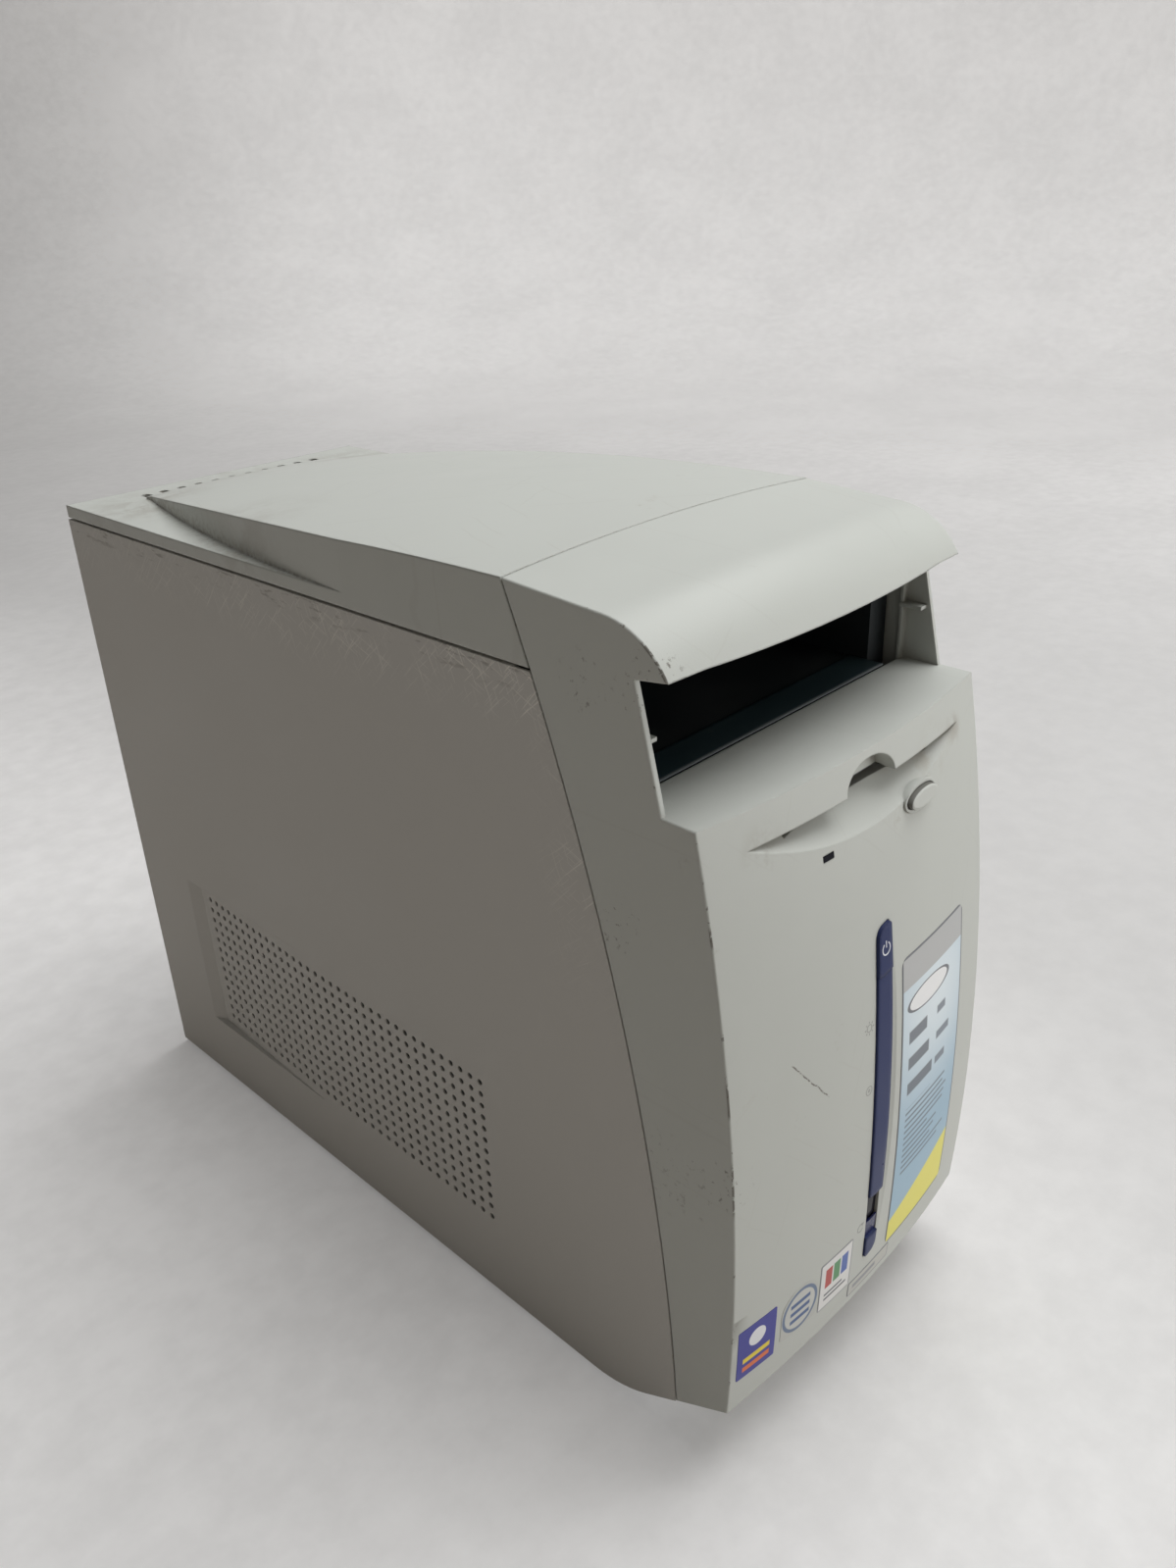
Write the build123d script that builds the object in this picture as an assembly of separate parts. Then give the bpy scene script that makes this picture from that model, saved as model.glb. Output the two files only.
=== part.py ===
from build123d import *
import os
from math import atan, cos, degrees, radians, sin, sqrt, tan

# Desktop computer tower in millimetres, +Z up. The front faces -Y, +X lies to the right as seen from
# the front, and the origin is on the floor under the middle of the tower.

# Whole case
case_width = 180.0
case_depth = 450.4
panel_bottom_z = 3.0
panel_top_z = 339.6
sheet = 1.0
plastic_wall = 2.5
seam_gap = 0.8
fit_gap = 0.3
slide_gap = 0.2
screw_head_height = 2.4
screw_head_radius = 4.2
screw_radius = 1.6

# Lifted front of the underside
lift_setback = 68.8
lift_angle = 31.0
lift_radius = 60.0

# Curved front: an upright arc swept about an upright axis
front_radius = 995.0
front_apex_z = 105.0
bow_radius = 550.0

# Arc of the seam between the bezel and what lies behind it
seam_radius = 1044.0
seam_setback = 35.4
seam_apex_z = -23.1

# Hood and drive mouth of the bezel
ledge_z = 302.4
ledge_setback = 59.0
mouth_foot_setback = 41.7
mouth_head_setback = 52.5
mouth_top_z = 348.5
hood_lip_rise = 0.139
hood_lip_sag = 2.4
roof_joint_setback = 112.6
roof_joint_z = 373.9
hood_slope = 0.066
hood_round_setback = 64.4
hood_round_radius = 34.0
crown_radius = 1235.0
crown_tilt = 31.0
mouth_rib_depth = 3.5
mouth_rib_width = 1.5
mouth_rib_setback = 58.2
mouth_tab_length = 9.0
mouth_tab_width = 4.5
mouth_tab_z = 326.0
edge_round = 0.8
post_radius = 3.0
post_heights = (92.0, 150.0, 205.0)
hook_heights = (60.0, 250.0)
hook_width = 12.0
hook_inset = 4.5
hook_catch = 2.0
hook_setback = 25.2

# Top cover
cover_flange_z = 347.0
cover_rear_inset = 3.2
dome_mid_z = 367.6
dome_rear_inset = 27.2
dome_rear_z = 349.4
scoop_rear_waist = 33.0
scoop_rear_inset = 32.2
scoop_mid_waist = 14.5
scoop_mid_inset = 114.2
scoop_front_inset = 243.2
cover_slot_count = 11
cover_slot_pitch = 10.6
cover_slot_length = 9.0
cover_slot_width = 4.6
cover_slot_inset = 20.2
cover_post = 6.0
cover_post_x = 50.0
cover_post_insets = (165.2, 65.2)

# Side panel folds, vent grid and pressed recess
panel_flange = 9.0
vent_columns = 36
vent_rows = 13
vent_pitch_y = 6.6
vent_pitch_z = 6.73
vent_radius = 1.5
vent_rear_inset = 69.6
vent_top_z = 132.4
recess_depth = 3.5
recess_rear_inset = 52.2
recess_rear_run = 8.0
recess_length = 113.0
recess_low_z = 44.0
recess_high_z = 140.5
panel_screw_low_z = 60.0
panel_screw_high_z = 300.0

# Chassis
panel_clearance = 2.0
base_flange_height = 12.0
frame_setback = 67.2
frame_top_z = 348.0
rear_plane_inset = 11.2
rear_rim_gap = 3.0
foot_radius = 10.0
foot_x = 60.0
foot_front_setback = 110.2
foot_rear_inset = 30.2
frame_vent_radius = 4.0
frame_vent_pitch = 16.0
frame_vent_count = 7
frame_vent_z = 136.0
rear_vent_radius = 3.0
rear_vent_pitch = 9.0
rear_vent_columns = 6
rear_vent_rows = 12
rear_vent_x = -40.0
rear_vent_z = 150.0
speaker_radius = 25.0
speaker_depth = 9.0
speaker_z = 60.0

# Drive bays
bay_half_width = 73.6
bay_floor_z = 303.0
bay_roof_z = 347.0
bay_length = 183.0
bay_hole_low = 10.0
bay_hole_setback = 53.0
bay_hole_spacing = 79.25
bay_hole_radius = 1.6
small_drive_half = 50.8
small_cage_gap = 0.6
small_cage_floor_z = 222.0
small_cage_length = 138.0
drive_screw_setback = 33.0
drive_screw_spacing = 60.0
drive_screw_rise = 6.35
drive_screw_reach = 3.0
drive_hole_depth = 4.0
hard_rise = 7.0
hard_height = 26.0
hard_length = 146.0
hard_setback = 8.0
hard_lid_margin = 4.0
hard_lid_end = 30.0

# Disk drive, its scoop, slot and eject button
floppy_bottom_z = 268.0
floppy_height = 25.4
floppy_setback = 38.7
floppy_length = 145.0
slot_lip_z = 288.5
slot_height = 4.6
slot_half_width = 47.5
slot_depth = 92.0
scoop_mouth_half = 95.0
scoop_mouth_drop = 17.8
scoop_back_half = 52.0
scoop_back_drop = 2.5
scoop_lead = 6.0
scoop_depth = 12.0
scoop_mid_blend = 0.45
thumb_half_width = 16.0
thumb_height = 10.4
thumb_depth = 9.0
pod_half_width = 76.0
pod_bottom_z = 263.0
pod_setback = 34.2
eject_x = 31.9
eject_z = 272.2
eject_half_width = 10.6
eject_half_height = 3.9
eject_proud = 2.2
eject_boss_wall = 1.8
eject_boss_proud = 0.9
eject_travel = 5.0
plunger_width = 5.0
plunger_height = 3.0
plunger_length = 12.0
lamp_x = -30.2
lamp_z = 271.6
lamp_width = 5.8
lamp_height = 2.2

# Blue strip, power button, dark window and reset button
strip_top_z = 232.0
strip_bottom_z = 65.0
strip_top_left_x = -4.6
strip_top_right_x = 4.4
strip_mid_left_x = -7.3
strip_mid_right_x = 3.7
strip_foot_left_x = -6.2
strip_foot_right_x = 1.6
strip_tilt = 1.6
strip_soft_corner = 5.0
strip_split_dip = 0.9
strip_proud = 0.8
strip_flange = 2.0
strip_flange_thickness = 1.4
power_split_z = 211.0
power_proud = 1.2
power_travel = 2.0
window_top_z = 101.5
window_bottom_z = 86.0
window_sink = 1.8
reset_bottom_z = 77.2
reset_sink = 0.6
reset_travel = 1.2
groove_radius = 12.0
groove_depth = 1.2
groove_lead = 4.0
switch_board_setback = 22.2
switch_board_thickness = 1.6
switch_board_low_x = -12.0
switch_board_high_x = 15.0
switch_height = 6.0
switch_half = 4.0
switch_plunger_half = 1.5
switch_plunger_length = 6.0
switch_board_boss_x = 10.5
reset_stem_half = 2.0
power_stem_half = 3.0
indicator_radius = 2.5
indicator_heights = (190.0, 160.0)

# Power supply
psu_half_width = 75.0
psu_bottom_z = 252.0
psu_height = 86.0
psu_length = 140.0
psu_border = 9.0
psu_fan_x = -28.0
psu_fan_size = 80.0
psu_fan_depth = 25.0
guard_wire = 0.8
guard_rings = 4
inlet_x = 44.0
inlet_drop = 24.0
inlet_width = 28.0
inlet_height = 21.0
inlet_depth = 18.0
inlet_wall = 2.0
inlet_proud = 1.5
pin_pitch = 7.0
pin_offset = 2.0
pin_width = 2.0
pin_height = 4.0
selector_drop = 58.0
selector_width = 22.0
selector_height = 12.0
selector_depth = 8.0
selector_travel = 6.0
slider_width = 8.0
slider_height = 5.0
slider_sink = 3.0
slider_groove = 2.0
psu_board_margin = 6.0
psu_peg_height = 5.0
psu_peg_radius = 3.0
coil_half_width = 18.0
coil_setback = 40.0
coil_length = 38.0
coil_height = 34.0
capacitor_radius = 10.0
capacitor_height = 42.0
capacitor_places = (-48.0, -26.0)
cooling_plate = 3.0
cooling_plate_setback = 24.0
cooling_plate_length = 60.0
cooling_plate_height = 48.0
cooling_plate_places = (32.0, 58.0)

# Fans, as shares of their size
duct_share = 0.475
hub_share = 0.2
corner_hole_share = 0.444
corner_hole_radius_share = 0.025
corner_round_share = 0.0625
arm_share = 0.05
blade_share = 0.017
blade_tilt = 38.0
blade_count = 7
blade_tip_gap = 1.2
arm_thickness = 2.0
motor_post_length = 4.0
rotor_setback = 1.5

# Main board and what it carries
board_length = 191.0
board_bottom_z = 18.0
board_height = 229.0
board_thickness = 1.6
standoff_length = 6.35
standoff_radius = 3.0
fixing_front = 8.0
fixing_rear = 33.0
fixing_heights = (22.0, 87.0, 239.0)
fixing_reach = 4.0
fixing_head_height = 2.0
cpu_inset = 78.0
cpu_z = 192.0
cpu_socket_half = 25.0
cpu_socket_height = 8.0
heatsink_size = 60.0
heatsink_height = 34.0
heatsink_base = 6.0
fin_count = 13
fin_thickness = 1.4
cpu_fan_depth = 15.0
memory_insets = (134.0, 122.0)
memory_low_z = 94.0
memory_high_z = 230.0
memory_socket_half = 3.2
memory_socket_height = 6.0
memory_height = 31.75
memory_thickness = 1.3
memory_seat = 2.0
memory_chip_count = 8
memory_chip_pitch = 16.0
memory_chip_height = 11.0
memory_chip_low = 8.0
memory_chip_width = 18.0
memory_chip_thickness = 1.1
chip_set_inset = 151.0
chip_set_z = 62.0
chip_set_half = 16.0
chip_set_height = 3.0
chip_fin_count = 6
chip_fin_thickness = 2.0
chip_fin_height = 9.0
coin_cell_inset = 115.0
coin_cell_z = 80.0
coin_cell_radius = 10.0
coin_cell_height = 3.2
coin_holder_half_y = 11.0
coin_holder_half_z = 7.0
coin_holder_height = 3.0

# Expansion slots and the modem card
slot_pitch_z = 20.32
slot_first_z = 31.0
slot_count = 3
slot_shift = 5.0
slot_window_half = 6.5
slot_low_margin = 10.0
slot_high_margin = 8.0
bracket_half = 9.2
bracket_end = 2.0
bracket_low_x = -34.0
bracket_tab = 10.0
slot_socket_length = 85.0
slot_socket_inset = 10.0
slot_socket_half = 4.2
slot_socket_height = 11.0
slot_socket_seat = 3.0
card_thickness = 1.6
card_length = 113.0
card_low_x = -14.0
card_chip_insets = (83.0, 48.0)
card_chip_low_x = 20.0
card_chip_size = 24.0
card_chip_height = 2.4
jack_places = (20.0, 42.0)
jack_width = 13.0
jack_height = 10.5
jack_length = 16.0
jack_proud = 0.5
jack_wall = 1.6

# Rear ports
port_low_x = 37.0
port_low_z = 96.0
port_high_z = 244.0
port_length = 18.0
port_reach = 5.0
port_half = 6.25
d_shell_half = 4.2
d_shell_end = 7.0
d_shell_wall = 0.8
d_shell_depth = 3.5
d_screw_radius = 2.4
d_screw_end = 3.2
game_port_z = 121.5
game_port_length = 39.0
serial_port_z = 187.0
video_port_z = 156.0
nine_pin_length = 30.0
parallel_port_z = 171.5
parallel_port_length = 53.0
audio_places = (108.0, 121.5, 135.0)
audio_half = 6.0
audio_collar_radius = 4.2
audio_bore_radius = 1.8
usb_half_x = 3.5
usb_half_z = 7.0
usb_z = 212.0
usb_wall = 1.0
usb_reach = 2.0
usb_depth = 11.0
usb_tongue = 1.8
keyboard_z = 233.0
keyboard_half_z = 8.0
keyboard_height = 28.0
keyboard_low = 7.5
keyboard_pitch = 13.5
keyboard_collar_radius = 6.2
keyboard_bore_radius = 4.6
keyboard_reach = 2.0
keyboard_depth = 12.0

# Cables, their plugs and the headers on the board
header_height = 9.0
header_width = 8.0
hard_header_inset = 179.0
hard_header_low_z = 96.0
hard_header_high_z = 154.0
floppy_header_z = 200.0
floppy_header_length = 44.0
floppy_header_inset = 145.0
power_header_length = 52.0
power_header_inset = 75.0
power_header_low_z = 234.0
power_header_high_z = 244.0
power_header_height = 14.0
plug_height = 8.0
ribbon_thickness = 1.2
ribbon_bend = 6.0
ribbon_half = 25.0
hard_plug_x = 7.0
hard_plug_half = 27.0
hard_plug_rise = 4.0
hard_fold_high_z = 150.0
floppy_plug_half = 24.0
floppy_plug_rise = 8.0
floppy_ribbon_half = 22.0
lead_radius = 4.0
lead_rise = 10.0
main_lead_gap = 13.0
main_lead_front = 18.0
main_lead_bend = 6.0
drive_lead_x = -40.0
drive_lead_bend = 12.0
drive_plug_half = 10.0
drive_plug_length = 14.0

# Sizes that follow from those above: first across and upwards, then from the front, then from the rear
half_width = case_width / 2
front_apex_y = -case_depth / 2
rear_end_y = case_depth / 2
panel_inner = half_width - sheet
chassis_half = panel_inner - panel_clearance
hook_inner = chassis_half - hook_inset
rear_rim_half = psu_half_width + rear_rim_gap
tray_x = chassis_half - 2 * sheet
board_x = tray_x - standoff_length - board_thickness
main_lead_x = board_x - power_header_height - main_lead_gap
bracket_high_x = rear_rim_half + bracket_end
scoop_rear_x = half_width - scoop_rear_waist
scoop_mid_x = half_width - scoop_mid_waist
base_offset = sheet + slide_gap
base_bottom_z = panel_bottom_z + base_offset
chassis_top_z = panel_top_z + slide_gap + sheet
psu_top_z = psu_bottom_z + psu_height
psu_middle_z = (psu_bottom_z + psu_top_z) / 2
lift_slope = tan(radians(lift_angle))

bow_axis_y = front_apex_y + bow_radius
lift_corner_y = front_apex_y + lift_setback
seam_apex_y = front_apex_y + seam_setback
ledge_rear_y = front_apex_y + ledge_setback
mouth_wall_foot_y = front_apex_y + mouth_foot_setback
mouth_wall_head_y = front_apex_y + mouth_head_setback
mouth_rib_y = front_apex_y + mouth_rib_setback
roof_joint_y = front_apex_y + roof_joint_setback
hood_round_start_y = front_apex_y + hood_round_setback
hook_front_y = front_apex_y + hook_setback
pod_back_y = front_apex_y + pod_setback
switch_board_y = front_apex_y + switch_board_setback
floppy_front_y = front_apex_y + floppy_setback
foot_front_y = front_apex_y + foot_front_setback
frame_y = front_apex_y + frame_setback
bay_rear_y = frame_y + bay_length
bay_hole_front_y = frame_y + bay_hole_setback
small_cage_rear_y = frame_y + small_cage_length
drive_screw_front_y = frame_y + drive_screw_setback

panel_rear_y = rear_end_y - screw_head_height
cover_rear_y = rear_end_y - cover_rear_inset
cover_slot_y = rear_end_y - cover_slot_inset
dome_rear_y = rear_end_y - dome_rear_inset
dome_mid_y = (roof_joint_y + dome_rear_y) / 2
scoop_rear_y = rear_end_y - scoop_rear_inset
scoop_mid_y = rear_end_y - scoop_mid_inset
scoop_front_y = rear_end_y - scoop_front_inset
vent_rear_y = rear_end_y - vent_rear_inset
recess_rear_y = rear_end_y - recess_rear_inset
recess_deep_y = recess_rear_y - recess_rear_run
recess_front_y = recess_rear_y - recess_length
foot_rear_y = rear_end_y - foot_rear_inset
rear_plane_y = rear_end_y - rear_plane_inset
psu_front_y = rear_plane_y - psu_length
board_rear_y = rear_plane_y - sheet
board_front_y = board_rear_y - board_length
cpu_y = board_rear_y - cpu_inset
chip_set_y = board_rear_y - chip_set_inset
coin_cell_y = board_rear_y - coin_cell_inset
slot_socket_rear_y = board_rear_y - slot_socket_inset
slot_socket_front_y = slot_socket_rear_y - slot_socket_length
card_front_y = board_rear_y - card_length
hard_header_y = board_rear_y - hard_header_inset
floppy_header_rear_y = board_rear_y - floppy_header_inset
floppy_header_front_y = floppy_header_rear_y - floppy_header_length
power_header_rear_y = board_rear_y - power_header_inset
power_header_front_y = power_header_rear_y - power_header_length
main_lead_end_y = (power_header_front_y + power_header_rear_y) / 2
far = 60.0
touch = 0.01

os.makedirs("parts", exist_ok=True)


def save(name, *solids):
    """Write one piece, or a group of like pieces, under its name."""
    found = []
    for item in solids:
        found += item.solids()
    export_step(found[0] if len(found) == 1 else Compound(found), f"parts/{name}.step")


def block(x0, x1, y0, y1, z0, z1):
    """A box given by two opposite corners."""
    return Pos((x0 + x1) / 2, (y0 + y1) / 2, (z0 + z1) / 2) * Box(abs(x1 - x0), abs(y1 - y0), abs(z1 - z0))


def rod_x(x0, x1, y, z, radius):
    """A round bar along X."""
    return Pos((x0 + x1) / 2, y, z) * Rot(0, 90, 0) * Cylinder(radius, x1 - x0)


def rod_y(x, y0, y1, z, radius):
    """A round bar along Y."""
    return Pos(x, (y0 + y1) / 2, z) * Rot(90, 0, 0) * Cylinder(radius, y1 - y0)


def rod_z(x, y, z0, z1, radius):
    """A round bar along Z."""
    return Pos(x, y, (z0 + z1) / 2) * Cylinder(radius, z1 - z0)


def side_face(*edges):
    """A face drawn in the upright Y-Z plane."""
    return Plane.YZ * make_face(Curve() + list(edges))


def across(face, half):
    """A side face made solid over the width from -half to +half."""
    return extrude(face, amount=half, both=True)


def front_plane(y):
    """A plane facing the front, with X to the right and Z up."""
    return Plane(origin=(0, y, 0), x_dir=(1, 0, 0), z_dir=(0, -1, 0))


def through_front(face, back_y=frame_y):
    """A face drawn in X and Z made solid from back_y forward past the front."""
    return extrude(front_plane(back_y) * face, amount=back_y - front_apex_y + far)


def rectangle(x0, x1, z0, z1):
    """A flat rectangle given by its corners in X and Z."""
    return Pos((x0 + x1) / 2, (z0 + z1) / 2) * Rectangle(x1 - x0, z1 - z0)


# Curved reference surfaces

def arc_y(z, apex_y, apex_z, radius):
    """Y of an upright arc that bulges to the front, at height z."""
    return apex_y + radius - sqrt(radius**2 - (z - apex_z)**2)


def front_y(x, z, inset=0.0):
    """Y of the curved front, moved inwards by inset."""
    middle = arc_y(z, front_apex_y + inset, front_apex_z, front_radius - inset)
    return bow_axis_y - sqrt((bow_axis_y - middle)**2 - x**2)


def seam_y(z):
    """Y of the middle of the seam behind the bezel."""
    return arc_y(z, seam_apex_y, seam_apex_z, seam_radius)


def front_solid(inset):
    """Everything behind the curved front, moved inwards by inset."""
    low_z = -far / 2
    high_z = ledge_z + far
    apex = front_apex_y + inset
    low = (arc_y(low_z, apex, front_apex_z, front_radius - inset), low_z)
    high = (arc_y(high_z, apex, front_apex_z, front_radius - inset), high_z)
    back_y = roof_joint_y + far
    face = side_face(
        ThreePointArc(low, (apex, front_apex_z), high),
        Polyline(high, (back_y, high_z), (back_y, low_z), low),
    )
    axis = Axis((0, bow_axis_y, 0), (0, 0, 1))
    sweep_angle = 2 * degrees(atan(1.3 * half_width / (bow_axis_y - back_y)))
    return revolve(face.rotate(axis, -sweep_angle / 2), axis, sweep_angle)


def front_skin(outer, inner):
    """A layer of the curved front between two insets."""
    return front_solid(outer) - front_solid(inner)


def crowned(face):
    """A side face swept about the tilted crown axis, so that it falls away to both sides."""
    tilt = radians(crown_tilt)
    axis_y = roof_joint_y + crown_radius * sin(tilt)
    axis_z = roof_joint_z - crown_radius * cos(tilt)
    axis = Axis((0, axis_y, axis_z), (0, cos(tilt), sin(tilt)))
    sweep_angle = 4 * degrees(atan(half_width / crown_radius))
    return revolve(face.rotate(axis, -sweep_angle / 2), axis, sweep_angle)


def seam_region(shift, forward):
    """All that lies in front of, or behind, the seam moved by shift along Y."""
    low_z = -far / 2
    high_z = roof_joint_z + far
    low = (seam_y(low_z) + shift, low_z)
    high = (seam_y(high_z) + shift, high_z)
    middle_z = (low_z + high_z) / 2
    end_y = front_apex_y - far if forward else rear_end_y + far
    face = side_face(
        ThreePointArc(low, (seam_y(middle_z) + shift, middle_z), high),
        Polyline(high, (end_y, high_z), (end_y, low_z), low),
    )
    return across(face, case_width)


def lift_z(y, offset=0.0):
    """Height of the underside at y, moved up into the case by offset."""
    corner_y = lift_corner_y + offset * tan(radians(lift_angle / 2))
    radius = lift_radius - offset
    start_y = corner_y + radius * tan(radians(lift_angle / 2))
    end_y = start_y - radius * sin(radians(lift_angle))
    if y >= start_y:
        return panel_bottom_z + offset
    if y >= end_y:
        return panel_bottom_z + offset + radius - sqrt(radius**2 - (start_y - y)**2)
    return panel_bottom_z + offset + (corner_y - y) * lift_slope


def above_lift(offset, front, rear, top_z):
    """Side face above the underside moved up by offset, between two Y values and below top_z."""
    corner_y = lift_corner_y + offset * tan(radians(lift_angle / 2))
    radius = lift_radius - offset
    start_y = corner_y + radius * tan(radians(lift_angle / 2))
    end_y = start_y - radius * sin(radians(lift_angle))
    middle_y = start_y - radius * sin(radians(lift_angle / 2))
    return side_face(
        Line((rear, lift_z(rear, offset)), (start_y, lift_z(start_y, offset))),
        ThreePointArc((start_y, lift_z(start_y, offset)), (middle_y, lift_z(middle_y, offset)),
                      (end_y, lift_z(end_y, offset))),
        Polyline((end_y, lift_z(end_y, offset)), (front, lift_z(front, offset)), (front, top_z),
                 (rear, top_z), (rear, lift_z(rear, offset))),
    )


# Front bezel

def roof_solid(inset):
    """All that lies under the hood's roof, moved inwards by inset."""
    slope_length = sqrt(1 + hood_slope**2)
    start_z = roof_joint_z - hood_slope * (roof_joint_y - hood_round_start_y)
    centre_y = hood_round_start_y + hood_round_radius * hood_slope / slope_length
    centre_z = start_z - hood_round_radius / slope_length
    radius = hood_round_radius - inset
    start = (centre_y - radius * hood_slope / slope_length, centre_z + radius / slope_length)
    middle = (centre_y - radius * sin(radians(45)), centre_z + radius * cos(radians(45)))
    nose = (centre_y - radius, centre_z)
    rear_y = roof_joint_y + far
    rear = (rear_y, start[1] + hood_slope * (rear_y - start[0]))
    low_z = ledge_z - far
    return crowned(side_face(
        Line(rear, start),
        ThreePointArc(start, middle, nose),
        Polyline(nose, (nose[0], low_z), (rear_y, low_z), rear),
    ))


def scoop_face(y, half, drop):
    """Section of the finger scoop at y: flat above, bowed below."""
    left = (-half, slot_lip_z)
    right = (half, slot_lip_z)
    return front_plane(y) * make_face(Curve() + [
        Line(left, right), ThreePointArc(right, (0, slot_lip_z - drop), left)])


def strip_face(grow=0.0):
    """Outline of the blue strip in X and Z, grown outwards by grow."""
    middle_z = (strip_top_z + strip_bottom_z) / 2
    top_left = (strip_top_left_x, strip_top_z - strip_tilt)
    top_right = (strip_top_right_x, strip_top_z)
    foot_left = (strip_foot_left_x, strip_bottom_z)
    foot_right = (strip_foot_right_x, strip_bottom_z + strip_tilt)
    face = make_face(Curve() + [
        Line(top_left, top_right),
        ThreePointArc(top_right, (strip_mid_right_x, middle_z), foot_right),
        Line(foot_right, foot_left),
        ThreePointArc(foot_left, (strip_mid_left_x, middle_z), top_left),
    ])
    soft = [face.vertices().sort_by_distance((x, z, 0))[0] for x, z in (top_left, foot_right)]
    face = fillet(soft, strip_soft_corner)
    sharp = [face.vertices().sort_by_distance((x, z, 0))[0] for x, z in (top_right, foot_left)]
    face = fillet(sharp, strip_tilt)
    return offset(face, grow) if grow else face


def above_split(z):
    """All that lies above a split across the strip, which dips in its middle."""
    radius = (strip_mid_right_x - strip_mid_left_x)**2 / (8 * strip_split_dip) + strip_split_dip / 2
    middle_x = (strip_mid_left_x + strip_mid_right_x) / 2
    above = block(-far, far, front_apex_y - far, 0, z, strip_top_z + far)
    return above + rod_y(middle_x, front_apex_y - far, 0, z - strip_split_dip + radius, radius)


def groove_point(x, z, depth):
    """Middle of the round tool that cuts the groove beside the strip, at x and z."""
    return (x, front_y(x, z) + depth - groove_radius, z)


def eject_oval(grow=0.0):
    """Outline of the eject button in X and Z, grown outwards by grow."""
    return Pos(eject_x, eject_z) * Ellipse(eject_half_width + grow, eject_half_height + grow)


inner_half = half_width - plastic_wall
bezel_side = seam_region(-seam_gap / 2, True)
wide_front_y = front_apex_y - far
mouth_lip_z = mouth_top_z + hood_lip_rise * (mouth_wall_head_y - wide_front_y)

lower_outer = across(above_lift(0, wide_front_y, roof_joint_y, ledge_z), half_width)
lower_outer = lower_outer & front_solid(0) & bezel_side
lower_inner = across(above_lift(plastic_wall, wide_front_y, 0, ledge_z - plastic_wall), inner_half)
lower_inner = lower_inner & front_solid(plastic_wall)

upper_outer = across(side_face(Polyline(
    (mouth_wall_foot_y, ledge_z), (mouth_wall_head_y, mouth_top_z), (wide_front_y, mouth_lip_z),
    (wide_front_y, roof_joint_z + far), (0, roof_joint_z + far), (0, ledge_z),
    (mouth_wall_foot_y, ledge_z))), half_width)
upper_outer = upper_outer & bezel_side

# The lip of the hood hangs lower in its middle
hood_nose_y = hood_round_start_y - hood_round_radius * (1 - hood_slope / sqrt(1 + hood_slope**2))
hood_lip_z = mouth_top_z + hood_lip_rise * (mouth_wall_head_y - hood_nose_y)
lip_left = (edge_round - inner_half, hood_lip_z)
lip_right = (inner_half - edge_round, hood_lip_z)
lip_face = make_face(Curve() + [
    ThreePointArc(lip_left, (0, hood_lip_z - hood_lip_sag), lip_right),
    Polyline(lip_right, (lip_right[0], roof_joint_z), (lip_left[0], roof_joint_z), lip_left),
])
upper_outer = (upper_outer + through_front(lip_face, mouth_wall_head_y)) & roof_solid(0)
upper_inner = block(-inner_half, inner_half, wide_front_y, 0, ledge_z, roof_joint_z + far)
upper_inner = upper_inner & roof_solid(plastic_wall)

bezel = lower_outer + upper_outer


def on_outer_side(edge):
    """True for the bezel's long corner edges in front of the seam."""
    box = edge.bounding_box()
    middle = edge.center()
    flat = box.max.X - box.min.X < touch and abs(middle.X) > half_width - touch
    return flat and middle.Y < seam_y(middle.Z) - 2 * plastic_wall


bezel = fillet(bezel.edges().filter_by(on_outer_side), edge_round)
bezel = bezel - lower_inner - upper_inner
bezel = bezel - block(-inner_half, inner_half, ledge_rear_y, 0, ledge_z - 2 * plastic_wall, ledge_z + fit_gap)

# Pod behind the scoop, the scoop itself, the slot for disks and the arch for a thumb
lip_y = front_y(0, slot_lip_z)
pod = block(-pod_half_width, pod_half_width, front_apex_y, pod_back_y, pod_bottom_z, ledge_z - plastic_wall)
bezel = bezel + (pod & front_solid(plastic_wall / 2))
scoop_mid_half = (scoop_mouth_half + scoop_back_half) / 2
scoop_mid_drop = scoop_mouth_drop + (scoop_back_drop - scoop_mouth_drop) * scoop_mid_blend
scoop = loft([
    scoop_face(lip_y - scoop_lead, scoop_mouth_half, scoop_mouth_drop),
    scoop_face(lip_y + (scoop_depth - scoop_lead) / 2, scoop_mid_half, scoop_mid_drop),
    scoop_face(lip_y + scoop_depth, scoop_back_half, scoop_back_drop),
])
thumb_oval = Pos(0, slot_lip_z) * Ellipse(thumb_half_width, thumb_height)
thumb = extrude(front_plane(lip_y + thumb_depth) * thumb_oval, amount=far)
thumb = thumb & block(-far, far, wide_front_y, 0, slot_lip_z - fit_gap, ledge_z)
slot = block(-slot_half_width, slot_half_width, lip_y, pod_back_y + plastic_wall,
             slot_lip_z - slot_height, slot_lip_z)
bezel = bezel - scoop - thumb - slot

# Raised boss round the eject button, and the lamp hole
boss = through_front(eject_oval(eject_boss_wall), pod_back_y) & front_solid(-eject_boss_proud)
bezel = bezel + boss
bezel = bezel - through_front(eject_oval(fit_gap), pod_back_y + plastic_wall)
lamp_low = lamp_z - lamp_height / 2
lamp_high = lamp_z + lamp_height / 2
lamp_left = lamp_x - lamp_width / 2
lamp_right = lamp_x + lamp_width / 2
lamp_hole = offset(rectangle(lamp_left, lamp_right, lamp_low, lamp_high), slide_gap, kind=Kind.INTERSECTION)
bezel = bezel - through_front(lamp_hole, pod_back_y + plastic_wall)

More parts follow.
